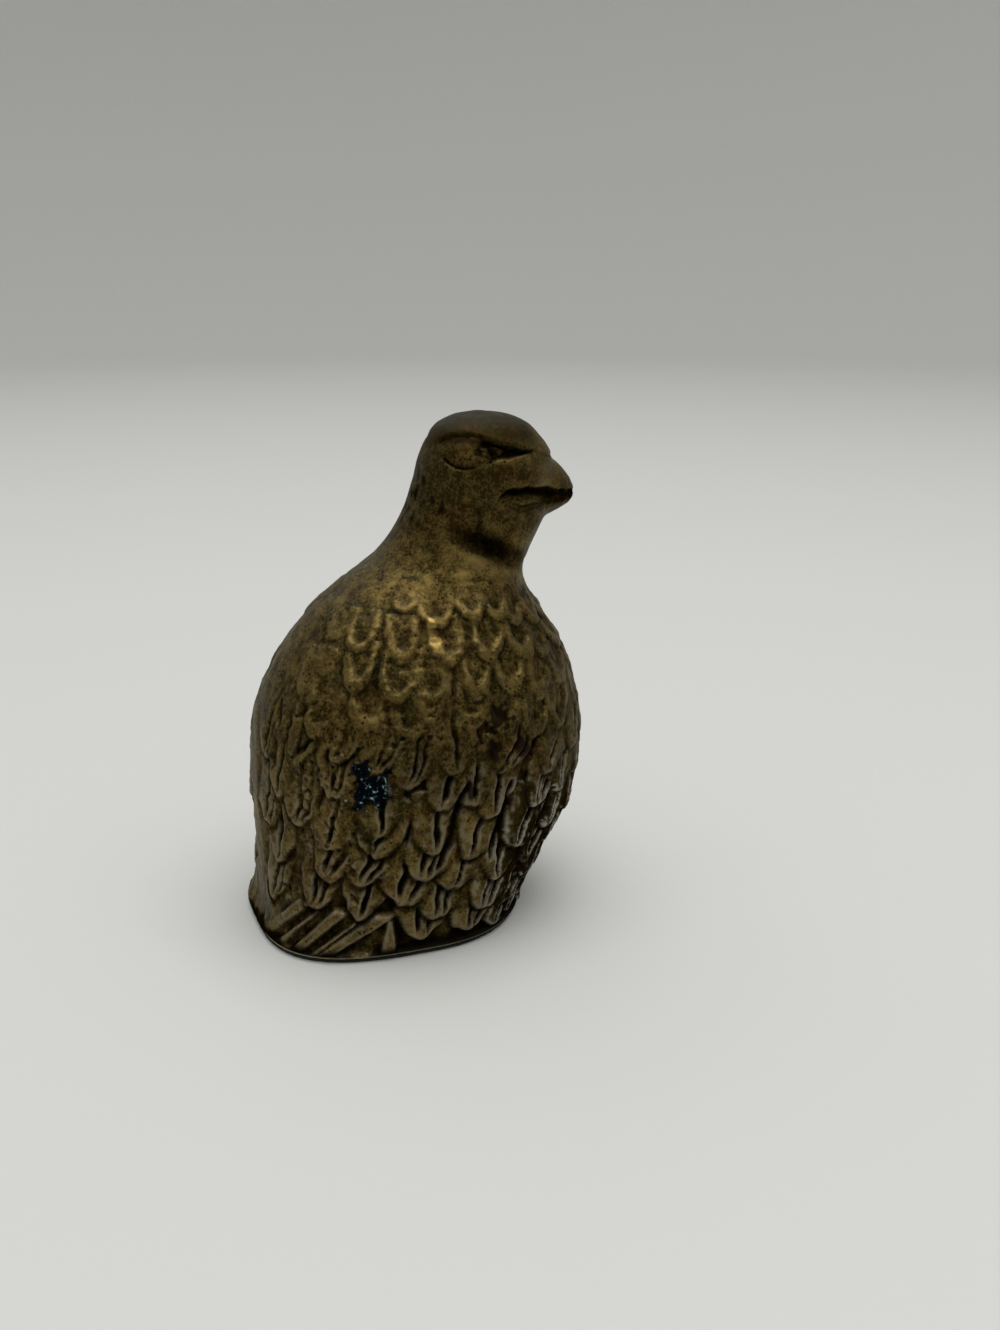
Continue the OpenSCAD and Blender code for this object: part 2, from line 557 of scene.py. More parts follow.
    def _eye_shade_and_cracks(self, points: Array, ahead: Array, z: Array, patchy: Array) -> Array:
        """Painted shade in the socket and under the brow, darkening round the eyeball, and dark patina in
        the cracks behind it.

        Args:
            points: Places on the smooth figure.
            ahead: Forward places.
            z: Heights.
            patchy: Unevenness of the darkening.

        Returns:
            Strengths, which may add up past 1.
        """
        below = curve(self.brow, ahead) - z
        # Painted shade in the wedge under the brow's overhang
        wedge = self._socket(ahead, z) * smoothstep(-0.6, 0.6, ahead - 22.4 + 1.3 * below)
        lens = smoothstep(1.3, 0.5, self.eye_darkening.away(ahead, z))
        # Painted shade along the hollow under the brow
        under_brow = np.exp(-(((below - 0.25) / 0.28) ** 2)) * band(ahead, (10.0, 11.5), (18.5, 16.5))
        skin = smoothstep(1.2, 0.7, self.cracked_skin.away(ahead, z))
        cracks = HandWaver(seed=55, shortest=0.6, longest=1.6)(points * np.array([1.0, 0.4, 1.0]))
        return wedge + (1.1 * lens + 0.7 * under_brow) * patchy + 0.6 * skin * smoothstep(0.5, 1.3, cracks)

    def _mouth_shade(self, ahead: Array, z: Array, patchy: Array) -> Array:
        """Painted shade in the slot of the mouth and under the bill's tip.

        Args:
            ahead: Forward places.
            z: Heights.
            patchy: Unevenness of the painted shade.

        Returns:
            Strengths, which may add up past 1.
        """
        share = self._mouth_share(ahead, z)
        # Painted shade in the slot under the upper bill
        slot = band(share, (0.0, 0.13), (0.6, 0.38)) * self._mouth_fade(ahead)
        # Painted shade under the bill's tip
        tip = band(share, (-0.05, 0.1), (1.1, 0.7)) * smoothstep(*self.bill_tip, ahead)
        return 0.9 * slot + 0.85 * tip * (0.5 + 0.5 * patchy)

    def _drawn(self, points: Array) -> tuple[Array, Array]:
        """Side view of the points, made a little uneven as hand-drawn lines are."""
        wave = [self.shake * HandWaver(seed=50 + k, shortest=2.5, longest=7.0)(points) for k in range(2)]
        return self.form.forward(points[:, 1]) + wave[0], points[:, 2] + wave[1]

    def _socket(self, ahead: Array, z: Array) -> Array:
        """1 in the wedge under the brow, fading to 0 around it.

        Args:
            ahead: Forward places.
            z: Heights.

        Returns:
            Strengths from 0 to 1.
        """
        top = curve(self.brow, ahead)
        share = (top - z) / np.maximum(top - curve(self.socket_floor, ahead), 0.05)
        return band(share, (0.0, 0.2), (1.1, 0.7)) * band(ahead, self.socket_rear, self.socket_front)

    def _brow(self, ahead: Array, z: Array) -> Array:
        """The cap's edge, and the hollow under it.

        Args:
            ahead: Forward places.
            z: Heights.

        Returns:
            Heights along the normal, in millimetres.
        """
        below = curve(self.brow, ahead) - z
        depth = curve(self.brow_depth, ahead)
        hollow = -depth * smoothstep(-0.15, 0.4, below) * np.exp(-np.maximum(below, 0.0) / 1.3)
        lip = 0.2 * depth * smoothstep(0.12, -0.3, below) * np.exp(np.minimum(below, 0.0) / 1.6)
        return hollow + lip - self.socket_depth * self._socket(ahead, z)

    def _eye(self, points: Array, ahead: Array, z: Array) -> Array:
        """The eyeball in its socket, its lid and the worn pad behind it.

        Args:
            points: Places on the smooth figure.
            ahead: Forward places.
            z: Heights.

        Returns:
            Heights along the normal, in millimetres.
        """
        ball, pad = (np.maximum(1.0 - o.away(ahead, z) ** 2, 0.0) for o in (self.eyeball, self.eye_pad))
        lid, edge = (stroke_distance(line, ahead, z) for line in (self.eyelid, self.eye_pad_edge))
        broken = smoothstep(-0.9, 0.5, HandWaver(seed=52, shortest=1.6, longest=4.0)(points))
        lines = 0.35 * np.exp(-((lid / 0.35) ** 2)) - 0.34 * broken * np.exp(-((edge / 0.28) ** 2))
        return 0.55 * np.sqrt(ball) + 0.18 * pad + lines

    def _mouth_share(self, ahead: Array, z: Array) -> Array:
        """Place across the mouth: 0 at the upper bill's edge and 1 at the jaw."""
        top, bottom = curve(self.mouth_top, ahead), curve(self.mouth_bottom, ahead)
        return (top - z) / np.maximum(top - bottom, 0.3)

    def _mouth_fade(self, ahead: Array) -> Array:
        """Strength of the mouth, which dies out at its corner and weakens towards the tip."""
        return smoothstep(*self.mouth_corner, ahead) * (1.0 - 0.8 * smoothstep(*self.bill_fade, ahead))

    def _throat(self, aside: Array, ahead: Array, z: Array) -> Array:
        """The crease under the jaw: 1 along its line, gentler above than below.

        Args:
            aside: Distances from the middle plane.
            ahead: Forward places.
            z: Heights.

        Returns:
            Strengths from 0 to 1.
        """
        above = 0.85 * (z - curve(self.throat, ahead))
        shape = np.exp(-((above / np.where(above > 0.0, 2.2, 1.5)) ** 2))
        ends = smoothstep(9.5, 15.0, ahead) * (0.3 + 0.7 * smoothstep(24.5, 20.0, ahead))
        return shape * ends * (0.25 + 0.75 * smoothstep(3.0, 9.0, aside))


@dataclass
class Feather:
    """One feather of the coat, lying on the smooth figure.

    Heights across a lower feather run from its rear edge at -1 to its front edge at 1, with a broad
    rear pad and one or two splits. An upper feather is a raised loop.
    """

    tip: Array
    normal: Array
    down: Array
    half_width: float
    length: float
    point: float
    height: float
    lower: float
    skew: float
    stretch: float
    twice: bool

    SPLIT_ONCE: ClassVar[tuple] = ((-0.04, 1.0), (0.05, 0.0), (0.13, 0.0), (0.25, 0.95), (0.9, 0.9))
    SPLIT_TWICE: ClassVar[tuple] = (
        (-0.19, 1.0), (-0.1, 0.0), (-0.02, 0.0), (0.1, 0.72), (0.3, 0.74), (0.39, 0.05), (0.46, 0.05),
        (0.57, 0.95),
    )
    # Where a loop's inner side falls off, from its middle outwards, and how high its middle stays
    LOOP: ClassVar[tuple] = (2.1, 1.15)
    LOOP_FLOOR: ClassVar[float] = 0.36
    # Width of the rounded edge on an upper and on a lower feather
    EDGE: ClassVar[tuple] = (1.0, 1.5)
    # Share of the length where the sides end and the rounded tip begins
    TIP_FROM: ClassVar[float] = 0.35
    TILT: ClassVar[float] = 0.65
    # Width of the painted shadow just outside the edge, in millimetres
    SHADOW: ClassVar[float] = 0.8
    REACH: ClassVar[float] = 5.0

    def relief(self, points: Array) -> tuple[Array, Array, Array, Array]:
        """Height of this feather over the nearby points.

        Args:
            points: Places on the smooth figure.

        Returns:
            The indices of the points in and close around it, its height there, how far it hides
            what lies under it, and the painted shadow just outside its edge.
        """
        near = np.flatnonzero((np.abs(points - self.tip) < self.length + 2.0).all(axis=1))
        away = points[near] - self.tip
        ahead = np.cross(self.normal, self.down) * (1.0 if self.tip[0] < 0.0 else -1.0)
        across = away @ ahead / self.half_width
        along = 1.0 + (away @ self.down) / self.length
        tip_share = np.maximum((along - self.TIP_FROM) / (1.0 - self.TIP_FROM), 0.0)
        span = (np.abs(across) ** self.point + tip_share**self.point) ** (1.0 / self.point)
        covered = (span < 1.0 + self.SHADOW / self.half_width) & (along > -0.1)
        covered &= np.abs(away @ self.normal) < self.REACH
        near, across, along, tip_share, span = (v[covered] for v in (near, across, along, tip_share, span))
        inward = (1.0 - span) * self.half_width
        edge = self.EDGE[0] + (self.EDGE[1] - self.EDGE[0]) * self.lower * smoothstep(0.9, 0.5, tip_share)
        pad = np.sqrt(1.0 - (1.0 - np.clip(inward / edge, 0.0, 1.0)) ** 2)
        slope = 1.0 - self.TILT + self.TILT * np.clip(along, 0.0, 1.0) ** 1.2
        height = self.height * pad * slope * self._section(across, tip_share, inward)
        cover = smoothstep(0.1, 0.5, inward) * smoothstep(0.2, 0.5, along)
        cover *= 1.0 - (1.0 - self.lower) * smoothstep(0.4, 0.8, np.abs(across))
        # Painted shadow in a band just outside the edge, mostly round the tip
        shadow = band(inward, (-self.SHADOW, -0.15), (0.3, 0.0))
        shadow *= smoothstep(0.2, 0.6, tip_share) * (0.35 + 0.55 * self.lower)
        return near, height, cover, shadow

    def _section(self, across: Array, tip_share: Array, inward: Array) -> Array:
        """Shape of the feather across its width: a split pad low down, a loop high up.

        Args:
            across: Places across the feather, 1 at its widest edge.
            tip_share: How far along the rounded tip, 1 at its end.
            inward: Distances inside the outline, in millimetres.

        Returns:
            Shares of the full height.
        """
        taper = np.maximum(1.0 - tip_share**self.point, 0.02) ** (1.0 / self.point)
        place = np.clip(across / taper, -1.0, 1.0) * self.stretch
        place = place + self.skew * (1.0 - place**2)
        carved = curve(self.SPLIT_TWICE if self.twice else self.SPLIT_ONCE, place)
        carved = carved + (1.0 - carved) * smoothstep(0.55, 0.85, tip_share)
        loop = self.LOOP_FLOOR + (1.0 - self.LOOP_FLOOR) * smoothstep(*self.LOOP, inward)
        return carved * self.lower + loop * (1.0 - self.lower)


class Flank(Enum):
    """Sides of the bird, as the sign of X."""

    LEFT = 1.0
    RIGHT = -1.0


@dataclass
class FeatherCoat:
    """Rows of overlapping feathers from the shoulders to the rim, and the folded wing tips.

    A turn is counted in degrees round from the tail, the same on both flanks. A fade holds the
    places where it starts and where it is full.
    """

    form: FigureForm
    seed: int = 20
    # Tips of the feathers from the shoulders down, as (turn, height)
    tips: tuple = (
        (52, 59), (72, 57), (97, 57), (113, 57), (126, 55.5), (142, 55), (158, 55), (173, 55),
        (22, 55), (39, 53.5), (60, 52), (85, 51.5), (106, 51), (123, 50.5), (139, 49.5), (154, 49.5),
        (169, 49.5), (11, 47), (26, 45.5), (46, 47.5), (63, 46), (78, 45.5), (99, 46), (117, 45.5),
        (130, 43.5), (147, 44), (164, 44), (18, 40), (36, 40), (54, 42), (70, 40.5), (79, 43), (96, 41),
        (111, 39.5), (124, 37.5), (139, 38), (156, 38), (173, 38), (12, 34), (29, 35), (45, 36),
        (58, 34.5), (73, 32), (90, 34), (112, 32.5), (131, 30), (146, 32), (163, 32), (20, 28), (45, 30),
        (62, 23.5), (85, 28), (99, 28.5), (107, 24.5), (127, 24.5), (138, 26), (154, 26), (171, 26),
        (14, 22), (30, 24), (43, 20.5), (60, 20), (84, 20), (99, 17.5), (119, 18), (135, 19), (150, 20),
        (164, 20), (20, 16), (41, 15), (56, 14.5), (79, 15.5), (93, 12.5), (113, 12.5), (129, 13),
        (143, 14), (158, 14), (173, 14), (17, 8), (38, 10), (57, 8.5), (73, 11), (87, 7.5), (108, 8),
        (122, 6.5), (136, 8), (151, 8), (166, 8), (79, 3.5), (101, 3.5), (116, 3), (129, 3), (144, 3),
        (159, 3), (174, 3),
    )
    # Heights of the tips down the middle of the breast
    middle_tips: tuple = (52, 41, 32, 20, 8)
    half_width_by_z: tuple = ((3, 4.8), (20, 4.8), (30, 4.6), (37, 4.1), (43, 3.5), (52, 3.3), (59, 2.8))
    length_by_z: tuple = ((3, 10.0), (20, 11.0), (34, 12.0), (43, 9.5), (52, 8.5), (58, 6.5))
    # Height of the relief and depth of the gaps between feathers, by the height that they lie at
    relief_by_z: tuple = ((2, 1.7), (18, 1.8), (29, 1.6), (36, 1.3), (43, 1.05), (52, 0.95), (60, 0.75))
    valley_by_z: tuple = ((2, 0.85), (28, 0.95), (37, 0.65), (46, 0.45), (54, 0.25), (58, 0.08))
    # Heights between which loops give way to split pads
    lower_fade: tuple = (42.0, 31.0)
    # Degrees that a feather leans to the rear: all of them, the lower ones and those under the breast
    lean: tuple = (6.0, 9.0, 14.0)
    swept_fade: tuple = (95.0, 130.0)
    # Where the relief is flattened: the upper feathers beside the back, the lower ones at the front
    rear_flat: tuple = (34.0, 20.0)
    front_flat: tuple = (142.0, 160.0)
    overhang: float = 0.6
    # Size and wave lengths of the coarse and the fine unevenness of the pattern
    sways: tuple = ((0.35, 5.0, 16.0), (0.16, 1.6, 4.5))
    neck_level: float = 0.22
    neck_fade: tuple = (72.0, 62.0)
    # Heights above the second tip between which the feathers give way to the smooth neck
    collar_rise: tuple = (1.8, 5.2)
    band_half_width: tuple = (5.2, 2.2)
    # Ridges of the folded wing tip: both ends as (place along the flank, height), half widths there
    wing_ridges: tuple = (
        ((9.4, 11.7), (20.5, 1.0), 1.2, 0.6), ((8.4, 8.8), (16.4, 1.4), 0.3, 0.4),
        ((2.6, 10.8), (12.8, 0.8), 1.25, 0.75), ((1.4, 7.4), (8.6, 1.6), 0.2, 0.35),
        ((-4.4, 9.6), (7.6, 0.8), 1.3, 0.75), ((-4.2, 7.4), (-3.6, 1.0), 0.45, 1.5),
    )
    # Top of the wing tips at the rear, how it falls for each degree past a turn, and where they end
    wing_top: float = 10.0
    wing_fall: float = 0.055
    wing_fall_from: float = 30.0
    wing_rear: tuple = (3.0, 10.0)
    wing_front: tuple = (75.0, 70.0)
    # Way along the flank that the wing's ridges are placed by, as shares of Y and of distance aside
    wing_way: tuple = (0.8, -0.6)
    # Slits in the rubbed flank, both ends as (turn, height)
    slits: tuple = (
        ((14.5, 43.5), (18, 40)), ((18.5, 37.5), (17.5, 32.5)), ((34.5, 39.5), (27, 36)),
        ((42, 38), (43, 34)), ((53, 39), (46, 34.5)), ((40.5, 32), (39.5, 28)), ((32, 45.5), (26, 42.5)),
        ((14, 22), (11, 18.5)), ((52, 17.5), (54.5, 15)), ((53, 12.5), (56, 11)), ((23, 11.7), (26, 9.8)),
        ((59.5, 22.5), (59, 20)),
    )
    # Long grooves between the columns of the lower breast, given in the same way
    grooves: tuple = (((96.5, 32), (86.5, 17)), ((116, 30), (109.5, 16.5)), ((135.5, 26.5), (130.5, 15.5)))
    girth_radius: float = 24.0
    # Middle and reach of each rubbed patch
    worn_spots: tuple = (
        ((-17.0, 20.5, 29.0), (9.0, 11.0, 17.0)),
        ((-22.5, 5.0, 40.0), (6.0, 14.0, 6.0)),
    )
    # Painted shade on the lower breast, which lessens towards the front
    breast_turn: tuple = (100.0, 126.0)
    breast_front: tuple = (146.0, 170.0)
    breast_height: tuple = (36.0, 20.0)
    # The dull band above the lower rows
    dim_turn: tuple = (50.0, 72.0)
    dim_low: tuple = (24.0, 31.0)
    dim_high: tuple = (44.0, 38.0)
    # The calmer breast and the rubbed shoulder
    calm_turn: tuple = (112.0, 140.0)
    calm_height: tuple = (34.0, 46.0)
    rubbed_low: tuple = (23.0, 32.0)
    rubbed_high: tuple = (49.0, 42.0)
    # How far the front is drawn in above the rim, between which turns and heights
    tuck_depth: float = 0.9
    tuck_turn: tuple = (112.0, 140.0)
    tuck_height: tuple = (22.0, 11.0)

    def feathers(self) -> list[Feather]:
        """Lay the feathers out, alike on both flanks.

        Returns:
            The feathers, from the rim up.
        """
        rng = np.random.default_rng(self.seed)
        found = []
        for degrees, height in sorted(self.tips, key=lambda tip: tip[1]):
            ring = self.form.ring(height, 360)[:181]
            turn = self.around(ring)
            x, y = (float(np.interp(degrees, turn, ring[:, axis])) for axis in (0, 1))
            for side in Flank:
                place = np.array([[x * side.value, y, height]]) + rng.normal(size=(1, 3)) * 0.15
                found.append((height, self._feather(place, rng)))
        for height in self.middle_tips:
            ring = self.form.ring(height, 360)
            found.append((height, self._feather(ring[180:181], rng)))
        found.sort(key=lambda pair: pair[0])
        return [feather for _, feather in found]

    def _feather(self, place: Array, rng: np.random.Generator) -> Feather:
        """Shape one feather for its place.

        Args:
            place: Where its tip lies, as one row.
            rng: Source of its variation.

        Returns:
            The feather.
        """
        on_skin = self.form.project(place)
        tip, normal = on_skin[0], self.form.normals(on_skin)[0]
        turn = self.around(on_skin)[0]
        lower = float(smoothstep(*self.lower_fade, tip[2]))
        swept = lower * float(smoothstep(*self.swept_fade, turn))
        ways = np.array([[0.0, 0.0, -1.0], [0.0, 1.0, 0.0]])
        down, rearward = (way - normal * (way @ normal) for way in ways)
        down /= np.linalg.norm(down)
        lean = self.lean[0] + self.lean[1] * lower + self.lean[2] * swept
        down = down + rearward * math.tan(math.radians(lean))
        down += np.cross(normal, down) * rng.normal() * 0.08
        down /= np.linalg.norm(down)
        on_back = float(smoothstep(0.45, 0.9, normal[1]))
        flat = 0.15 * on_back + 0.6 * (1.0 - lower) * float(smoothstep(*self.rear_flat, turn))
        flat += 0.28 * lower * float(smoothstep(*self.front_flat, turn))
        half_width, length, height = (
            float(curve(line, tip[2])) for line in (self.half_width_by_z, self.length_by_z, self.relief_by_z)
        )
        return Feather(
            tip=tip + self.overhang * down,
            normal=normal,
            down=down,
            half_width=half_width * rng.uniform(0.92, 1.08) * (1.0 - 0.2 * on_back),
            length=length * rng.uniform(0.95, 1.05),
            point=1.95 - 0.2 * lower + rng.uniform(-0.3, 0.25),
            height=height * rng.uniform(0.88, 1.12) * (1.0 - flat),
            lower=lower,
            skew=rng.normal() * 0.09,
            stretch=rng.uniform(0.85, 1.1),
            twice=rng.random() < 0.45,
        )

    def around(self, points: Array) -> Array:
        """The turn of each point."""
        widest = self.form.reaches(points[:, 2])[2]
        return np.degrees(np.arctan2(np.abs(points[:, 0]), widest - self.form.forward(points[:, 1])))

    def wing_zone(self, points: Array) -> Array:
        """1 where the folded wing tips lie, fading to 0 around them.

        Args:
            points: Places on the smooth figure.

        Returns:
            Strengths from 0 to 1.
        """
        turn = self.around(points)
        edge = self.wing_top - self.wing_fall * np.maximum(turn - self.wing_fall_from, 0.0)
        low = smoothstep(edge + 1.6, edge, points[:, 2])
        return low * band(turn, self.wing_rear, self.wing_front)

    def wing_relief(self, points: Array) -> Array:
        """Height of the long ridges of the wing tips.

        Args:
            points: Places on the smooth figure.

        Returns:
            Heights along the normal, in millimetres.
        """
        place = self.wing_way[0] * points[:, 1] + self.wing_way[1] * np.abs(points[:, 0])
        floor = 0.15 - 0.85 * smoothstep(14.0, 32.0, self.around(points))
        best = floor
        for start, end, first_half, last_half in self.wing_ridges:
            away, share = beside_line(start, end, place, points[:, 2])
            width = first_half + (last_half - first_half) * share
            top = 0.35 * np.minimum(width / 0.6, 1.0)
            best = np.maximum(best, floor + (top - floor) * smoothstep(1.35, 0.6, away / width))
        return best

    def slit_depth(self, points: Array) -> Array:
        """Depth of the slits and grooves between the feathers.

        Args:
            points: Places on the smooth figure.

        Returns:
            Depths in millimetres.
        """
        turn = np.radians(self.around(points)) * self.girth_radius
        total = np.zeros(len(points))
        for lines, depth, swell in ((self.slits, 0.55, 0.35), (self.grooves, 1.3, 0.5)):
            for ends in lines:
                first, last = ((math.radians(degrees) * self.girth_radius, z) for degrees, z in ends)
                away, share = beside_line(first, last, turn, points[:, 2])
                width = 0.3 + swell * np.sin(math.pi * share)
                total = np.maximum(total, depth * np.exp(-((away / width) ** 2)))
        return total

    def collar(self, points: Array) -> Array:
        """1 on the smooth neck that the first row grows out of, 0 on the feathered body."""
        return smoothstep(*self.collar_rise, points[:, 2] - self.tips[1][1])

    def back_band(self, points: Array) -> Array:
        """1 along the smooth band down the back, fading to 0 beside it."""
        behind = smoothstep(90.0, 60.0, self.around(points))
        return smoothstep(*self.band_half_width, np.abs(points[:, 0])) * behind

    def worn(self, points: Array) -> Array:
        """1 on the rubbed patches of the right flank, fading to 0 around them.

        Args:
            points: Places on the smooth figure.

        Returns:
            Strengths from 0 to 1.
        """
        best = np.zeros(len(points))
        for middle, reach in self.worn_spots:
            away = np.linalg.norm((points - np.array(middle)) / np.array(reach), axis=1)
            best = np.maximum(best, smoothstep(1.15, 0.35, away))
        return best

    def low_breast_shade(self, points: Array) -> Array:
        """1 where shade is painted on the lower breast, fading to 0 around it.

        Args:
            points: Places on the smooth figure.

        Returns:
            Strengths from 0 to 1.
        """
        turn = self.around(points)
        side = smoothstep(*self.breast_turn, turn) * (1.0 - 0.6 * smoothstep(*self.breast_front, turn))
        return side * smoothstep(*self.breast_height, points[:, 2])

    def dim(self, points: Array) -> Array:
        """1 on the dull band between the rubbed shoulder and the lower rows, fading to 0 around it.

        Args:
            points: Places on the smooth figure.

        Returns:
            Strengths from 0 to 1.
        """
        heights = band(points[:, 2], self.dim_low, self.dim_high)
        return heights * smoothstep(*self.dim_turn, self.around(points))

    def foot_grime_and_shade(self, points: Array) -> Array:
        """Black just above the rim, in patches and higher at the front: dark patina with painted shade along
        the foot.

        Args:
            points: Places on the smooth figure.

        Returns:
            Strengths from 0 to 1.
        """
        wave = HandWaver(self.seed + 9, shortest=3.0, longest=9.0)(points)
        low = points[:, 2] - self.form.rim_z + 1.1 * wave
        front = smoothstep(60.0, 95.0, self.around(points))
        return np.maximum(smoothstep(4.2, 1.8, low) * front, smoothstep(1.9, 0.9, low))

    def _swayed(self, points: Array) -> Array:
        """The points moved about a little, as in a pattern modelled by hand.

        Args:
            points: Places on the smooth figure.

        Returns:
            The moved points.
        """
        moved = points
        for number, (size, shortest, longest) in enumerate(self.sways):
            first = self.seed + 10 * number
            waves = [HandWaver(first + k, shortest, longest)(points) for k in range(3)]
            moved = moved + size * np.stack(waves, axis=1)
        return moved

    def relief(self, points: Array) -> tuple[Array, Array]:
        """Height of the coat over the smooth figure.

        Args:
            points: Places on the smooth figure.

        Returns:
            Heights along the normal in millimetres, and the painted shadow under the feathers' edges.
        """
        swayed = self._swayed(points)
        z, turn = points[:, 2], self.around(points)
        valley = curve(self.valley_by_z, z)
        level = self.wing_zone(points) * (self.wing_relief(points) + valley) - valley
        shade = np.zeros(len(points))
        for feather in self.feathers():
            near, height, cover, shadow = feather.relief(swayed)
            height = height - valley[near]
            level[near] = np.maximum(level[near] * (1.0 - cover) + height * cover, height)
            # A higher feather hides the painted shadow beneath it and adds its own
            shade[near] = np.maximum(shade[near] * (1.0 - cover), shadow)
        worn, neck, beside = self.worn(points), self.collar(points), 1.0 - self.back_band(points)
        calm = smoothstep(*self.calm_turn, turn) * smoothstep(*self.calm_height, z)
        rubbed = band(z, self.rubbed_low, self.rubbed_high)
        level *= (1.0 - 0.25 * worn) * (1.0 - 0.15 * rubbed) * (1.0 - 0.25 * calm) * beside
        pits = smoothstep(0.5, 1.4, HandWaver(self.seed + 5, shortest=1.0, longest=2.4)(points))
        level -= 0.4 * worn * pits + self.slit_depth(swayed) * smoothstep(10.0, 16.0, turn)
        tuck = smoothstep(*self.tuck_turn, turn) * smoothstep(*self.tuck_height, z)
        drawn_in = self.tuck_depth * tuck * smoothstep(0.4, 3.0, z - self.form.rim_z)
        level = level * (1.0 - 0.3 * tuck) - drawn_in
        # The painted shadow is weaker on the neck, the back band and the rubbed places
        shade *= (1.0 - neck) * beside * (1.0 - 0.3 * calm) * (1.0 - 0.55 * rubbed) * (1.0 - 0.5 * worn)
        return level * (1.0 - neck) + self.neck_level * smoothstep(*self.neck_fade, z) * neck, shade


@dataclass
class Patch:
    """A ragged mark on the casting's skin, around one or more places."""

    name: str
    spots: list
    ragged: float = 0.35

    def mask(self, points: Array) -> Array:
        """Strength of the mark at points, from 0 to 1.

        Args:
            points: Places on the smooth figure.

        Returns:
            Strengths from 0 to 1.
        """
        wave = HandWaver(seed=len(self.name), shortest=1.2, longest=3.5)(points)
        best = np.zeros(len(points))
        for middle, radius in self.spots:
            away = np.linalg.norm(points - np.array(middle), axis=1) / radius + self.ragged * wave
            best = np.maximum(best, smoothstep(1.15, 0.75, away))
        return best


class Tree:
    """Short ways to add and link the nodes of one tree."""

    def __init__(self, tree: bpy.types.NodeTree) -> None:
        """Start on an emptied tree."""
        self.tree = tree
        tree.nodes.clear()

    def add(self, kind: str, settings: dict | None = None, **inputs) -> bpy.types.Node:
        """Add a node.

        Args:
            kind: The node's type, without its ShaderNode prefix.
            settings: Properties of the node.
            **inputs: Values or sockets for its inputs, by name with _ for a space.

        Returns:
            The node.
        """
        node = self.tree.nodes.new("ShaderNode" + kind)
        for name, value in (settings or {}).items():
            setattr(node, name, value)
        for name, value in inputs.items():
            self.feed(node.inputs[name.replace("_", " ")], value)
        return node

    def feed(self, socket: Socket, value: object) -> None:
        """Link a socket, or set its value.

        Args:
            socket: The input.
            value: A socket to link, or a value to set.
        """
        if isinstance(value, Socket):
            self.tree.links.new(value, socket)
        else:
            socket.default_value = value

    def math(self, operation: str, *values: object, clamp: bool = False) -> Socket:
        """Add a Math node and return its output.

        Args:
            operation: What the node does.
            *values: Values or sockets for its inputs.
            clamp: Whether to keep the result between 0 and 1.

        Returns:
            The node's output.
        """
        node = self.add("Math", {"operation": operation, "use_clamp": clamp})
        for socket, value in zip(node.inputs, values):
            self.feed(socket, value)
        return node.outputs[0]

    def plus(self, a: object, b: object, clamp: bool = False) -> Socket:
        """Add two values."""
        return self.math("ADD", a, b, clamp=clamp)

    def minus(self, a: object, b: object) -> Socket:
        """Take one value from another."""
        return self.math("SUBTRACT", a, b)

    def times(self, a: object, b: object) -> Socket:
        """Multiply two values."""
        return self.math("MULTIPLY", a, b)

    def weighted(self, *pairs: tuple) -> Socket:
        """Add up values by their weights, given as (value, weight).

        Args:
            *pairs: The values and their weights.

        Returns:
            The sum.
        """
        total = self.times(*pairs[0])
        for pair in pairs[1:]:
            total = self.plus(total, self.times(*pair))
        return total

    def mix(self, share: object, a: object, b: object) -> Socket:
        """Mix two colours and return the result.

        Args:
            share: How much of the second colour.
            a: The first colour.
            b: The second colour.

        Returns:
            The node's output.
        """
        node = self.add("Mix", {"data_type": "RGBA"})
        for number, value in ((0, share), (6, a), (7, b)):
            self.feed(node.inputs[number], value)
        return node.outputs[2]

    def span(self, value: object, low: float, high: float, to_low: float = 0.0,
             to_high: float = 1.0) -> Socket:
        """Map a range of values onto another, smoothly, and return the result.

        Args:
            value: The value to map.
            low: Start of its range.
            high: End of its range.
            to_low: Result at the start.
            to_high: Result at the end.

        Returns:
            The node's output.
        """
        node = self.add("MapRange", {"interpolation_type": "SMOOTHSTEP"})
        for socket, item in zip(node.inputs, (value, low, high, to_low, to_high)):
            self.feed(socket, item)
        return node.outputs[0]

    def place(self) -> Socket:
        """The place on the object, in metres."""
        return self.add("TexCoord").outputs["Object"]

    def noise(self, place: object, scale: float, detail: float = 4.0,
              roughness: float = 0.55) -> Socket:
        """Add a noise texture and return its value."""
        return self.add("TexNoise", Vector=place, Scale=scale, Detail=detail, Roughness=roughness).outputs[0]

    def attribute(self, name: str) -> Socket:
        """Read a value stored on the mesh."""
        return self.add("Attribute", {"attribute_name": name}).outputs["Fac"]

    def group(self, shared: bpy.types.NodeTree, **inputs) -> bpy.types.Node:
        """Place a shared group."""
        return self.add("Group", {"node_tree": shared}, **inputs)


def rgba(red: float, green: float, blue: float) -> tuple[float, float, float, float]:
    """An opaque colour."""
    return (red, green, blue, 1.0)


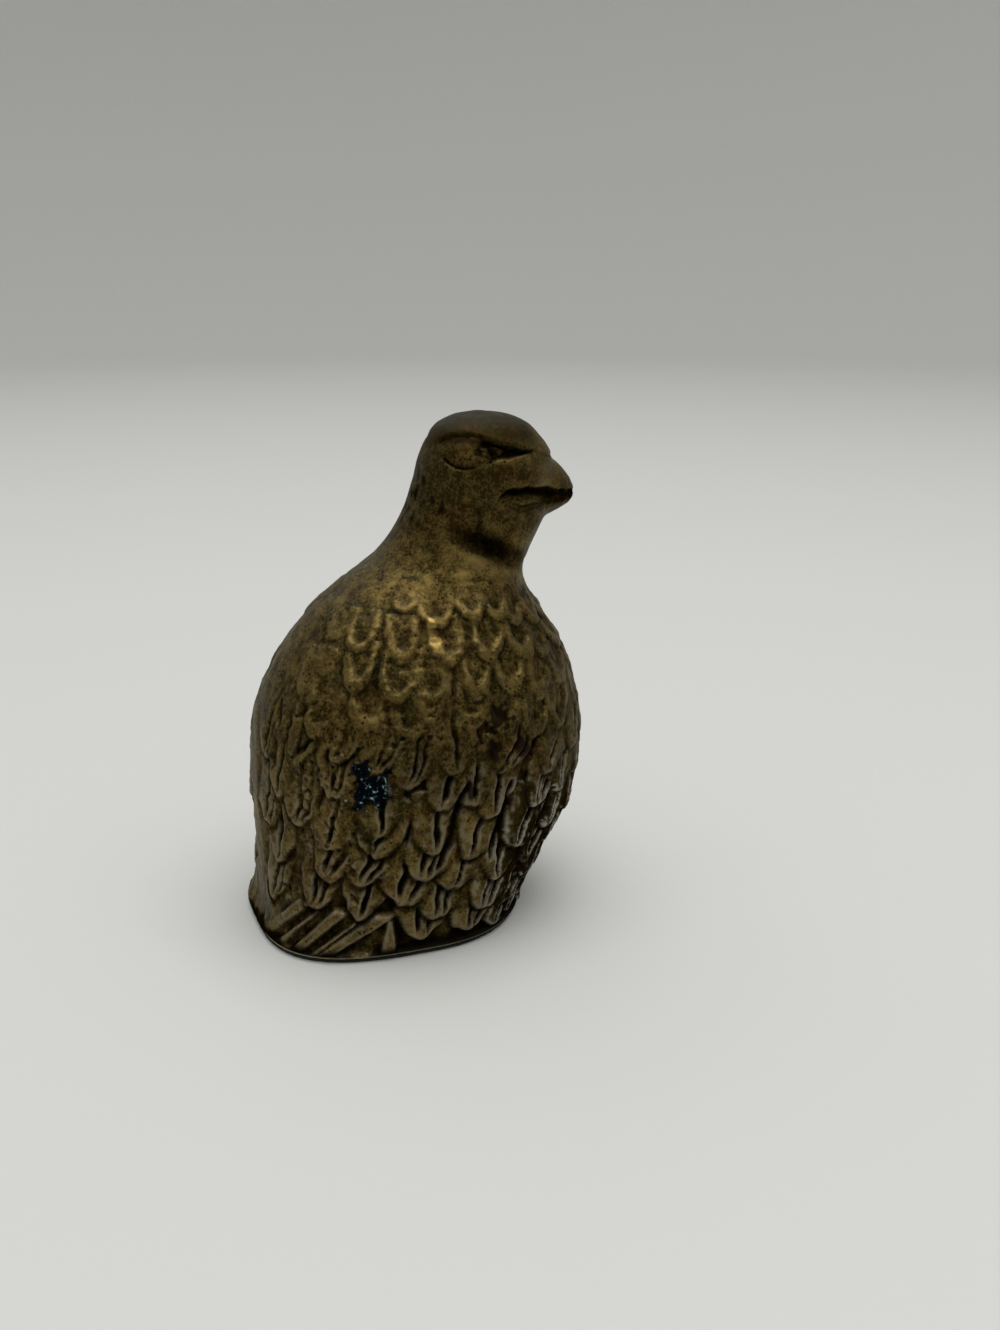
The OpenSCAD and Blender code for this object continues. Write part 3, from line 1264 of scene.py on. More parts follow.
class SharedEffects:
    """Shader groups that more than one finish uses, each built once."""

    def __init__(self) -> None:
        """Build the groups."""
        self.grain = self._grain()
        self.mottle = self._mottle()

    @staticmethod
    def _begin(name: str, inputs: dict[str, float], outputs: list[str]) -> tuple[Tree, dict, object]:
        """Start a group.

        Args:
            name: The group's name.
            inputs: Its value inputs with their defaults.
            outputs: Its value outputs.

        Returns:
            The tree, its input sockets by name and its output node.
        """
        shared = bpy.data.node_groups.new(name, "ShaderNodeTree")
        for label, value in inputs.items():
            socket = shared.interface.new_socket(label, in_out="INPUT", socket_type="NodeSocketFloat")
            socket.default_value = value
        for label in outputs:
            shared.interface.new_socket(label, in_out="OUTPUT", socket_type="NodeSocketFloat")
        tree = Tree(shared)
        entry, leave = (shared.nodes.new(kind) for kind in ("NodeGroupInput", "NodeGroupOutput"))
        return tree, {s.name: s for s in entry.outputs}, leave

    def _grain(self) -> bpy.types.NodeTree:
        """Fine grain with scattered pits: a height, and a mask of the pits.

        Returns:
            The group.
        """
        given_values = {"Scale": 2500.0, "Pits": 0.5}
        tree, given, leave = self._begin("grain_and_pits", given_values, ["Height", "Pit Mask"])
        place = tree.place()
        shares = (0.35, 0.45, 0.12)
        wide_scale, pit_scale, patch_scale = (tree.times(given["Scale"], share) for share in shares)
        fine = tree.noise(place, given["Scale"], 3.0, 0.65)
        wide = tree.noise(place, wide_scale, 2.0)
        cell = tree.add("TexVoronoi", Vector=place, Scale=pit_scale)
        dot = tree.span(cell.outputs["Distance"], 0.1, 0.34, 1.0, 0.0)
        some = tree.span(tree.noise(place, patch_scale), 0.47, 0.62)
        pits = tree.times(tree.times(dot, some), given["Pits"])
        tree.feed(leave.inputs["Height"], tree.minus(tree.weighted((fine, 0.6), (wide, 0.4)), pits))
        tree.feed(leave.inputs["Pit Mask"], pits)
        return tree.tree

    def _mottle(self) -> bpy.types.NodeTree:
        """Cloudy variation at two sizes: a mask from 0 to 1.

        Returns:
            The group.
        """
        tree, given, leave = self._begin("mottle", {"Scale": 120.0, "Contrast": 0.5}, ["Mask"])
        place = tree.place()
        broad = tree.noise(place, given["Scale"], 4.0, 0.6)
        small = tree.noise(place, tree.times(given["Scale"], 5.3), 3.0, 0.6)
        both = tree.weighted((broad, 0.62), (small, 0.38))
        away = tree.times(tree.minus(both, 0.5), tree.times(given["Contrast"], 6.0))
        tree.feed(leave.inputs["Mask"], tree.plus(away, 0.5, clamp=True))
        return tree.tree


def new_material(name: str) -> tuple[bpy.types.Material, Tree, bpy.types.Node]:
    """Start a material with a Principled shader.

    Args:
        name: The material's name.

    Returns:
        The material, its tree and its shader node.
    """
    material = bpy.data.materials.new(name)
    material.use_nodes = True
    tree = Tree(material.node_tree)
    shader = tree.add("BsdfPrincipled")
    tree.add("OutputMaterial", Surface=shader.outputs[0])
    return material, tree, shader


def roughen(tree: Tree, shader: bpy.types.Node, height: object, depth: float, strength: float) -> None:
    """Bump a shader's surface.

    Args:
        tree: The material's tree.
        shader: The shader.
        height: The height to follow.
        depth: Its size, in metres.
        strength: How far it shows.
    """
    bump = tree.add("Bump", Height=height, Distance=depth, Strength=strength)
    tree.feed(shader.inputs["Normal"], bump.outputs[0])


@dataclass(frozen=True)
class AntiqueBrass:
    """Aged cast brass: dark patina in the recesses and rubbed metal on what stands out, with painted shade
    in hollows and under overhangs and a painted sheen on upward faces and edges.
    """

    # Near-black of the recesses' patina and of the painted shade
    recess_and_shade: tuple = rgba(0.0012, 0.0008, 0.0003)
    olive: tuple = rgba(0.024, 0.0185, 0.0042)
    brown: tuple = rgba(0.032, 0.0175, 0.0036)
    # Painted grey sheen on faces that look upwards
    upward_sheen: tuple = rgba(0.031, 0.030, 0.023)
    metal: tuple = rgba(0.160, 0.110, 0.033)
    # Pale grey of the rubbed edges: worn metal with a painted silver sheen
    rim: tuple = rgba(0.32, 0.30, 0.235)
    # Pale gold of the polished spots and of the painted highlight on the upper bill
    bright: tuple = rgba(0.30, 0.205, 0.06)
    rust_brown: tuple = rgba(0.005, 0.0018, 0.0018)
    crust_black: tuple = rgba(0.002, 0.003, 0.005)
    crust_green: tuple = rgba(0.26, 0.42, 0.42)
    # Tint of the grazing reflections, on clean metal and on patina and painted shade
    clean: tuple = rgba(1.0, 1.0, 0.95)
    patina_and_shade_tint: tuple = rgba(0.05, 0.05, 0.04)
    specular: float = 0.15
    broad_scale: float = 85.0
    small_scale: float = 420.0
    hue_scale: float = 160.0
    bloom_scale: float = 640.0
    grain_scale: float = 2200.0
    grain_depth: float = 0.00007

    def material(self, effects: SharedEffects) -> bpy.types.Material:
        """Build the finish.

        Args:
            effects: The shared shader groups.

        Returns:
            The material.
        """
        material, tree, shader = new_material("antique_brass")
        ridge, edge, crevice, bare = (tree.attribute(n) for n in ("ridge", "edge", "crevice", "bare"))
        polish, crust, stain, patina_and_shade = (tree.attribute(n) for n in ("polish", "crust", "stain", "patina_and_shade"))
        broad = tree.group(effects.mottle, Scale=self.broad_scale, Contrast=0.5).outputs["Mask"]
        small = tree.group(effects.mottle, Scale=self.small_scale, Contrast=0.7).outputs["Mask"]
        grain = tree.group(effects.grain, Scale=self.grain_scale, Pits=0.45)
        sand = tree.minus(grain.outputs["Height"], 0.5)
        facing = tree.add("SeparateXYZ", Vector=tree.add("NewGeometry").outputs["Normal"]).outputs["Z"]
        place = tree.place()

        rubbed = tree.weighted((ridge, 0.45), (broad, 0.4), (tree.minus(small, 0.5), 0.6), (sand, 3.0))
        # Faces that look upwards show more metal: painted light
        rubbed = tree.times(tree.plus(rubbed, tree.span(facing, 0.1, 0.6, 0.0, 0.12)), bare)
        half_covered = tree.times(tree.times(tree.minus(1.0, bare), bare), 5.0)
        rubbed = tree.plus(rubbed, tree.times(sand, half_covered), clamp=True)
        hue = tree.span(tree.noise(place, self.hue_scale, 3.0), 0.4, 0.6)
        patina = tree.mix(hue, self.olive, self.brown)
        # Painted grey sheen on upward faces
        patina = tree.mix(tree.span(facing, 0.45, 0.95, 0.0, 0.55), patina, self.upward_sheen)
        dark = tree.plus(crevice, tree.times(grain.outputs["Pit Mask"], 0.3), clamp=True)
        # The dark share holds the crevices' patina and the painted shade under the feathers, in the face, on
        # the lower breast and along the foot
        dark = tree.math("MAXIMUM", dark, patina_and_shade)
        bloom = tree.span(tree.noise(place, self.bloom_scale, 5.0, 0.75), 0.56, 0.66)
        colour = patina
        layers = (
            (rubbed, self.metal), (edge, self.rim), (tree.times(dark, 0.92), self.recess_and_shade),
            (tree.times(stain, 0.85), self.rust_brown), (polish, self.bright),
            (crust, tree.mix(bloom, self.crust_black, self.crust_green)),
        )
        for share, layer in layers:
            colour = tree.mix(share, colour, layer)
        tree.feed(shader.inputs["Base Color"], colour)

        rough = tree.weighted((dark, 0.22), (small, 0.12), (ridge, -0.06), (edge, -0.1), (polish, -0.15))
        rough = tree.plus(rough, tree.span(bare, 0.0, 1.0, 0.6, 0.46), clamp=True)
        tree.feed(shader.inputs["Roughness"], rough)
        salty = tree.times(tree.times(crust, bloom), 0.9)
        tree.feed(shader.inputs["Metallic"], tree.minus(1.0, salty))
        shader.inputs["Specular IOR Level"].default_value = self.specular
        darkened = tree.math("MAXIMUM", crevice, patina_and_shade)
        tree.feed(shader.inputs["Specular Tint"], tree.mix(darkened, self.clean, self.patina_and_shade_tint))
        roughen(tree, shader, grain.outputs["Height"], self.grain_depth, 0.8)
        return material


@dataclass(frozen=True)
class GreenFelt:
    """Pressed wool felt."""

    deep: tuple = rgba(0.003, 0.008, 0.005)
    pale: tuple = rgba(0.012, 0.028, 0.017)
    fibre_scale: float = 900.0
    clump_scale: float = 260.0
    nap_depth: float = 0.00018
    specular: float = 0.2
    sheen: float = 0.06
    sheen_roughness: float = 0.5

    def material(self, effects: SharedEffects) -> bpy.types.Material:
        """Build the finish with the shared shader groups.

        Args:
            effects: The shared shader groups.

        Returns:
            The material.
        """
        material, tree, shader = new_material("green_felt")
        fibre = tree.add("TexWave", {"wave_type": "BANDS"}, Vector=tree.place(), Scale=self.fibre_scale,
                         Distortion=18.0, Detail=3.0, Detail_Scale=3.0).outputs["Fac"]
        clumps = tree.group(effects.mottle, Scale=self.clump_scale, Contrast=0.6).outputs["Mask"]
        share = tree.weighted((fibre, 0.5), (clumps, 0.5))
        tree.feed(shader.inputs["Base Color"], tree.mix(share, self.deep, self.pale))
        tree.feed(shader.inputs["Roughness"], tree.plus(0.86, tree.times(clumps, 0.1)))
        shader.inputs["Specular IOR Level"].default_value = self.specular
        shader.inputs["Sheen Weight"].default_value = self.sheen
        shader.inputs["Sheen Roughness"].default_value = self.sheen_roughness
        roughen(tree, shader, share, self.nap_depth, 0.9)
        return material


@dataclass(frozen=True)
class SpeckledMatt:
    """A matt filler, board or film with cloudy colour and a fine grain."""

    name: str
    dark: tuple
    light: tuple
    roughness: float
    mottle_scale: float
    grain_scale: float
    pits: float
    grain_depth: float = 0.0001

    def material(self, effects: SharedEffects) -> bpy.types.Material:
        """Build the finish with the shared shader groups.

        Args:
            effects: The shared shader groups.

        Returns:
            The material.
        """
        material, tree, shader = new_material(self.name)
        clouds = tree.group(effects.mottle, Scale=self.mottle_scale, Contrast=0.5).outputs["Mask"]
        grain = tree.group(effects.grain, Scale=self.grain_scale, Pits=self.pits)
        colour = tree.mix(clouds, self.dark, self.light)
        tree.feed(shader.inputs["Base Color"], tree.mix(grain.outputs["Pit Mask"], colour, self.dark))
        tree.feed(shader.inputs["Roughness"], tree.plus(self.roughness, tree.times(clouds, 0.08)))
        roughen(tree, shader, grain.outputs["Height"], self.grain_depth, 0.6)
        return material


def node_box(node: str) -> tuple[Array, Array]:
    """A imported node's lowest and highest corners, in millimetres."""
    low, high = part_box(node)
    return np.array(low) / MM, np.array(high) / MM


def add_object(name: str, data: bpy.types.ID) -> bpy.types.Object:
    """Make an object of some data and put it in the scene.

    Args:
        name: The object's name.
        data: Its mesh, lamp or camera.

    Returns:
        The object.
    """
    added = bpy.data.objects.new(name, data)
    bpy.context.scene.collection.objects.link(added)
    return added


def dress(piece: bpy.types.Object, material: bpy.types.Material) -> None:
    """Give a piece one material all over."""
    piece.data.materials.clear()
    piece.data.materials.append(material)


def finish_net(net: Net, mesh: Mesh) -> None:
    """Turn a net's faces outwards, store it in a mesh and shade it smooth.

    Args:
        net: The net.
        mesh: The mesh to fill.
    """
    bmesh.ops.recalc_face_normals(net, faces=net.faces[:])
    net.to_mesh(mesh)
    net.free()
    mesh.shade_smooth()


def join_rings(net: Net, upper: list, lower: list) -> None:
    """Join two rings of as many vertices with quads.

    Args:
        net: The net.
        upper: One ring.
        lower: The other, in the same order.
    """
    for k, vert in enumerate(upper):
        after = (k + 1) % len(upper)
        net.faces.new((vert, upper[after], lower[after], lower[k]))


def close_ring(net: Net, ring: list, point: object) -> None:
    """Close a ring of vertices with triangles to a point.

    Args:
        net: The net.
        ring: The ring.
        point: Place of the point.
    """
    apex = net.verts.new(point)
    for a, b in zip(ring, ring[1:] + ring[:1]):
        net.faces.new((a, b, apex))


@dataclass
class QuailCasting:
    """The hollow brass figure, with its feathers, face and ground rim."""

    form: FigureForm
    finish: AntiqueBrass = AntiqueBrass()
    grid: float = 0.62
    # Rise along an edge of the net, in millimetres, from which its faces are halved
    steep: float = 0.09
    face_low: float = 72.5
    face_rear: float = 8.5
    chamfer: float = 0.45
    chamfer_in: float = 0.35
    ring_count: int = 96
    cavity_rows: int = 12
    dome_rows: int = 5
    rim_width: float = 2.2
    wall: float = 4.0
    cavity_wall: float = 42.0
    cavity_dome: float = 14.0
    # Waves of the cast skin: their size, seed, shortest and longest
    skin_waves: tuple = ((0.1, 3, 3.0, 9.0), (0.05, 4, 1.0, 2.4))
    # Heights of the smoky head, of its darker cap and of the beak, and where the beak begins
    smoke_fade: tuple = (66.0, 72.0)
    cap_fade: tuple = (83.0, 86.5)
    beak_fade: tuple = (74.0, 77.0)
    # Heights over which the painted highlight on the upper bill comes in
    upper_bill_fade: tuple = (76.5, 78.5)
    beak_from: tuple = (25.5, 29.0)
    # Share and heights of the rubbed edges, which carry a painted silver sheen as well as wear, from the
    # neck down and on the lower rows
    edge_fades: tuple = ((0.25, (69.0, 63.5)), (0.75, (40.0, 28.0)))
    # Where the crevices are paler: by what share, and between which heights
    pale_crevices: tuple = ((0.35, (36.0, 46.0), (64.0, 60.0)), (0.9, (60.0, 64.0), (74.0, 71.5)))
    # Rounds of smoothing that a ridge, and the sharp edge of one, stand out from
    ridge_blur: int = 48
    edge_blur: int = 6
    polish: Patch = field(default_factory=lambda: Patch(
        "polish", [((-15.9, 1.3, 57.3), 0.85), ((-17.7, 1.0, 54.8), 0.8)], 0.4))
    crust: Patch = field(default_factory=lambda: Patch(
        "crust", [((-22.6, 14.0, 32.2), 3.3), ((-21.6, 15.7, 35.6), 1.9), ((-21.8, 16.2, 30.2), 2.2)], 0.22))
    stain: Patch = field(default_factory=lambda: Patch(
        "stain", [((-23.0, -7.8, 41.8), 2.4), ((-24.0, -6.2, 36.5), 2.2), ((-24.9, -2.6, 30.5), 1.5),
                  ((-22.6, -12.7, 35.8), 1.6)], 0.6))

    def __post_init__(self) -> None:
        """Set up what is sculpted on the smooth figure."""
        self.head = HeadSculpture(self.form)
        self.coat = FeatherCoat(self.form)

    def build(self, effects: SharedEffects) -> bpy.types.Object:
        """Sculpt the casting and dress it.

        Args:
            effects: The shared shader groups.

        Returns:
            The casting's object.
        """
        mesh = bpy.data.meshes.new("quail_casting")
        points, quads = self._smooth_skin()
        mesh.from_pydata(points.tolist(), [], quads.tolist())
        self._refine_and_trim(mesh)
        self._sculpt(mesh)
        self._close_underside(mesh)
        mesh.transform(Matrix.Scale(MM, 4))
        casting = add_object("quail_casting", mesh)
        dress(casting, self.finish.material(effects))
        return casting

    def _smooth_skin(self) -> tuple[Array, Array]:
        """Mesh the smooth figure evenly, a little past the rim.

        Returns:
            Vertices, and quads that face outwards.
        """
        margin = 3.0 * self.grid
        low = np.append(self.form.low[:2] - margin, self.form.rim_z - margin)
        high = self.form.high + margin
        axes = [np.arange(a, b + self.grid, self.grid) for a, b in zip(low, high)]
        points = np.stack(np.meshgrid(*axes, indexing="ij"), axis=-1)
        vertices, quads = surface_net(self.form.value(points), low, self.grid)
        edges = np.concatenate([quads[:, [k, (k + 1) % 4]] for k in range(4)])
        around = Neighbours(np.unique(np.sort(edges, axis=1), axis=0), len(vertices))
        for _ in range(3):
            vertices = self.form.project(vertices, 2)
            vertices = np.stack([around.blur(vertices[:, k], 1) for k in range(3)], axis=1)
        return self.form.project(vertices), quads

    def _refine_and_trim(self, mesh: Mesh) -> None:
        """Halve the faces that carry steep relief, and cut the skin off level above the chamfer.

        Args:
            mesh: The casting's mesh.
        """
        points = self._places(mesh)
        busy = (points[:, 2] > self.face_low) & (self.form.forward(points[:, 1]) > self.face_rear)
        pairs = self._edges(mesh)
        rise, _ = self.coat.relief(points)
        steep = np.abs(rise[pairs[:, 0]] - rise[pairs[:, 1]]) > self.steep
        busy[pairs[steep].ravel()] = True
        net = bmesh.new()
        net.from_mesh(mesh)
        net.verts.ensure_lookup_table()
        fine = [f for f in net.faces if sum(bool(busy[v.index]) for v in f.verts) > 2]
        edges = list({e for f in fine for e in f.edges})
        bmesh.ops.subdivide_edges(net, edges=edges, cuts=1, use_grid_fill=True)
        bmesh.ops.bisect_plane(
            net, geom=[*net.verts, *net.edges, *net.faces], dist=1e-4,
            plane_co=(0, 0, self.form.rim_z + self.chamfer), plane_no=(0, 0, 1), clear_inner=True,
        )
        net.to_mesh(mesh)
        net.free()

    @staticmethod
    def _places(mesh: Mesh) -> Array:
        """Coordinates of a mesh's vertices.

        Args:
            mesh: The mesh.

        Returns:
            One row for each vertex.
        """
        flat = np.empty(len(mesh.vertices) * 3)
        mesh.vertices.foreach_get("co", flat)
        return flat.reshape(-1, 3)

    @staticmethod
    def _edges(mesh: Mesh) -> Array:
        """Pairs of vertices that share an edge.

        Args:
            mesh: The mesh.

        Returns:
            One row of two indices for each edge.
        """
        flat = np.empty(len(mesh.edges) * 2, dtype=np.int64)
        mesh.edges.foreach_get("vertices", flat)
        return flat.reshape(-1, 2)

    def _sculpt(self, mesh: Mesh) -> None:
        """Raise the feathers and the face, and store what the finish reads.

        Args:
            mesh: The casting's mesh.
        """
        points = self._places(mesh)
        cut = points[:, 2] < self.form.rim_z + self.chamfer + 1e-3
        points[~cut] = self.form.project(points[~cut], 3)
        normals = self.form.normals(points)
        normals[cut, 2] = 0.0
        coat_level, shade = self.coat.relief(points)
        rise = coat_level + self.head.depth(points)
        uneven = 1.0 - 0.75 * smoothstep(60.0, 68.0, points[:, 2])
        for size, seed, shortest, longest in self.skin_waves:
            rise += size * uneven * HandWaver(seed, shortest, longest)(points)
        rise *= smoothstep(0.0, 0.6, points[:, 2] - self.form.rim_z - self.chamfer)
        around = Neighbours(self._edges(mesh), len(points))
        for name, values in self._marks(points, rise, shade, around).items():
            stored = mesh.attributes.new(name, "FLOAT", "POINT")
            stored.data.foreach_set("value", values.astype(np.float32))
        mesh.vertices.foreach_set("co", (points + normals * rise[:, None]).ravel())

    def _marks(self, points: Array, rise: Array, shade: Array, around: Neighbours) -> dict[str, Array]:
        """Work out what the finish reads.

        Args:
            points: Places on the smooth figure.
            rise: How far the sculpted skin stands out there.
            shade: Painted shadow under the feathers' edges.
            around: The neighbours of each point.

        Returns:
            Values from 0 to 1 for each point, by name.
        """
        z = points[:, 2]
        # Painted shade on the lower breast: it darkens the metal and patina there and strengthens the
        # painted silver edges
        breast = self.coat.low_breast_shade(points)
        above = (rise - around.blur(rise, self.ridge_blur)) * 1.5 / curve(self.coat.relief_by_z, z)
        sharp = rise - around.blur(rise, self.edge_blur)
        sharp = smoothstep(0.02 + 0.02 * breast, 0.13 + 0.01 * breast, sharp)
        ridge = smoothstep(-0.12, 0.32, above)
        low_down = sum(share * smoothstep(*fade, z) for share, fade in self.edge_fades)
        crevice = smoothstep(0.08 - 0.08 * breast, 0.48 - 0.22 * breast, -above)
        for share, low, high in self.pale_crevices:
            crevice *= 1.0 - share * band(z, low, high)
        over_rim = smoothstep(1.0, 2.2, z - self.form.rim_z)
        # Dark patina and painted shade along the foot, kept off the ridges, then the painted shade of the
        # lower breast
        foot_grime_and_shade = self.coat.foot_grime_and_shade(points) * (1.0 - ridge * over_rim)
        foot_grime_and_shade = np.maximum(foot_grime_and_shade, 0.7 * breast * (1.0 - sharp))
        beak = smoothstep(*self.beak_from, self.form.forward(points[:, 1])) * smoothstep(*self.beak_fade, z)
        smoky = 0.5 - 0.3 * beak + 0.4 * smoothstep(*self.cap_fade, z)
        smoky *= smoothstep(*self.smoke_fade, z)
        # Painted highlight along the top of the upper bill, stored with the polished spots
        bill = 0.14 * beak * smoothstep(*self.upper_bill_fade, z)
        return {
            "ridge": ridge,
            # Rubbed edges with a painted silver sheen, strongest on the lower breast
            "edge": sharp * low_down * (0.28 + 0.72 * breast),
            # The crevices' dark patina, joined by the painted shadow under the feathers' edges
            "crevice": np.maximum(crevice, 0.9 * shade),
            # Painted shade and dark patina of the face, along the foot and on the lower breast
            "patina_and_shade": np.maximum(self.head.patina_and_shade(points), foot_grime_and_shade),
            "bare": (1.0 - smoky) * (1.0 - 0.7 * breast) * (1.0 - 0.45 * self.coat.dim(points)),
            self.polish.name: np.maximum(self.polish.mask(points), bill),
            self.crust.name: self.crust.mask(points),
            self.stain.name: self.stain.mask(points),
        }

    def _close_underside(self, mesh: Mesh) -> None:
        """Add the chamfer, the ground rim, the rebate and the cavity.

        Args:
            mesh: The casting's mesh.
        """
        net = bmesh.new()
        net.from_mesh(mesh)
        silver = net.verts.layers.float["edge"]
        open_edge = {v for e in net.edges if e.is_boundary for v in e.verts}
        base = Vector((0.0, self.form.shift - float(self.form.reaches(np.array(self.form.rim_z))[2]), 0.0))

        def angle(vert: bmesh.types.BMVert) -> float:
            """Direction of a vertex from the middle of the base."""
            return math.atan2(vert.co.x - base.x, vert.co.y - base.y)

        edge = sorted(open_edge, key=angle)
        ground = []
        for vert in edge:
            outline = vert.co.xy.to_3d()
            inward = (base - outline).normalized() * self.chamfer_in
            ground.append(net.verts.new(outline + inward + Vector((0, 0, self.form.rim_z))))
            # The ground rim takes the full edge colour: ground metal with a painted silver sheen
            ground[-1][silver] = 1.0
        join_rings(net, edge, ground)
        last = ground
        for section_z, inset, shrink, z in self._inner_rows():
            ring = self.form.ring(section_z, self.ring_count, inset, shrink)
            verts = [net.verts.new((p[0], p[1], z)) for p in ring]
            if last is ground:
                self._zip(net, ground, sorted(verts, key=angle), angle)
            else:
                join_rings(net, last, verts)
            last = verts
        peak = sum((v.co for v in last), Vector()) / len(last)
        peak.z = self.form.rim_z + self.cavity_wall + self.cavity_dome
        close_ring(net, last, peak)
        finish_net(net, mesh)

    def _inner_rows(self) -> list[tuple[float, float, float, float]]:
        """Rows of the rebate and the cavity, from the rim up.

        Returns:
            For each row, the height of its section, its inset, its shrink and its own height.
        """
        rim_z, ledge_z = self.form.rim_z, float(node_box("backing_board")[1][2])
        top = rim_z + self.cavity_wall
        rows = [(rim_z, self.rim_width, 1.0, z) for z in (rim_z, ledge_z)]
        rows += [(z, self.wall, 1.0, z) for z in np.linspace(ledge_z, top, self.cavity_rows)]
        for k in range(1, self.dome_rows):
            turn = math.pi / 2 * k / self.dome_rows
            z = top + self.cavity_dome * math.sin(turn)
            rows.append((z, self.wall, math.cos(turn), z))
        return rows

    @staticmethod
    def _zip(net: Net, outer: list, inner: list, angle: Callable) -> None:
        """Join two rings of different counts, both sorted by angle, with triangles.

        Args:
            net: The net.
            outer: One ring.
            inner: The other.
            angle: Gives a vertex's direction from the middle.
        """
        def turn_after(ring: list, k: int) -> float:
            """Angle of the vertex after number k, counted on past a whole turn."""
            return angle(ring[(k + 1) % len(ring)]) + (2 * math.pi if k + 1 >= len(ring) else 0.0)

        i = j = 0
        while i < len(outer) or j < len(inner):
            a, b = outer[i % len(outer)], inner[j % len(inner)]
            outer_first = i < len(outer) and turn_after(outer, i) <= turn_after(inner, j)
            if j >= len(inner) or outer_first:
                net.faces.new((a, outer[(i + 1) % len(outer)], b))
                i += 1
            else:
                net.faces.new((a, inner[(j + 1) % len(inner)], b))
                j += 1


@dataclass
class FeltBase:
    """The felt pad under the rim, with a soft cut edge."""

    form: FigureForm
    finish: GreenFelt = GreenFelt()
    inset: float = 0.6
    points: int = 220
    fuzz: float = 0.07
    edge_round: float = 0.3
    rows: int = 5
    face_rows: int = 7
    seed: int = 7

    def build(self, effects: SharedEffects) -> bpy.types.Object:
        """Make the pad and dress it.

        Args:
            effects: The shared shader groups.

        Returns:
            The pad's object.
        """
        low, high = (float(corner[2]) for corner in node_box("felt_pad"))
        rng = np.random.default_rng(self.seed)
        outline = self._outline()
        middle = outline.mean(axis=0)
        out = outline - middle
        out /= np.linalg.norm(out, axis=1, keepdims=True)
        edge = []
        for share in np.linspace(0.0, 1.0, self.rows):
            draw_in = self.edge_round * (2.0 * share - 1.0) ** 4
            wobble = rng.normal(size=(self.points, 1)) * self.fuzz
            ring = outline - out * (draw_in + np.abs(wobble))
            edge.append(np.column_stack([ring, np.full(self.points, low + (high - low) * share)]))
        centre = [np.array([*middle, z]) for z in (low, high)]
        shares = np.linspace(1.0, 0.0, self.face_rows + 1)[1:-1]
        under = [centre[0] + (edge[0] - centre[0]) * share for share in shares[::-1]]
        over = [centre[1] + (edge[-1] - centre[1]) * share for share in shares]
        net = bmesh.new()
        rings = [[net.verts.new(place) for place in ring] for ring in under + edge + over]
        for lower, upper in zip(rings, rings[1:]):
            join_rings(net, lower, upper)
        close_ring(net, rings[0], centre[0])
        close_ring(net, rings[-1], centre[1])
        mesh = bpy.data.meshes.new("felt_base")
        finish_net(net, mesh)
        mesh.transform(Matrix.Scale(MM, 4))
        felt = add_object("felt_base", mesh)
        dress(felt, self.finish.material(effects))
        return felt

    def _outline(self) -> Array:
        """The line that the pad is cut along, in millimetres."""
        return self.form.ring(self.form.rim_z, self.points, self.inset)[:, :2]

    def flat_size(self) -> tuple[tuple[float, float], float]:
        """Width, length and area of the cut, in metres.

        Returns:
            The width and the length together, and the area.
        """
        x, y = (self._outline() * MM).T
        area = abs(float((x * np.roll(y, -1) - y * np.roll(x, -1)).sum())) / 2.0
        return (float(np.ptp(x)), float(np.ptp(y))), area


@dataclass
class HiddenPieces:
    """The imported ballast, board and adhesive, which keep their shapes."""

    finishes: tuple = (
        ("ballast_fill", SpeckledMatt(
            "ballast_plaster", rgba(0.50, 0.46, 0.38), rgba(0.72, 0.69, 0.61), 0.85, 90.0, 900.0, 0.8)),
        ("backing_board", SpeckledMatt(
            "grey_board", rgba(0.16, 0.14, 0.115), rgba(0.27, 0.245, 0.21), 0.8, 220.0, 1500.0, 0.3)),
        ("felt_adhesive", SpeckledMatt(
            "adhesive_film", rgba(0.30, 0.21, 0.08), rgba(0.48, 0.37, 0.18), 0.45, 160.0, 1200.0, 0.2)),
    )

    def dress(self, effects: SharedEffects) -> None:
        """Give each piece its finish.

        Args:
            effects: The shared shader groups.
        """
        for node, finish in self.finishes:
            dress(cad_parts[node], finish.material(effects))
            LOG.info("%s: %s", node, finish.name)


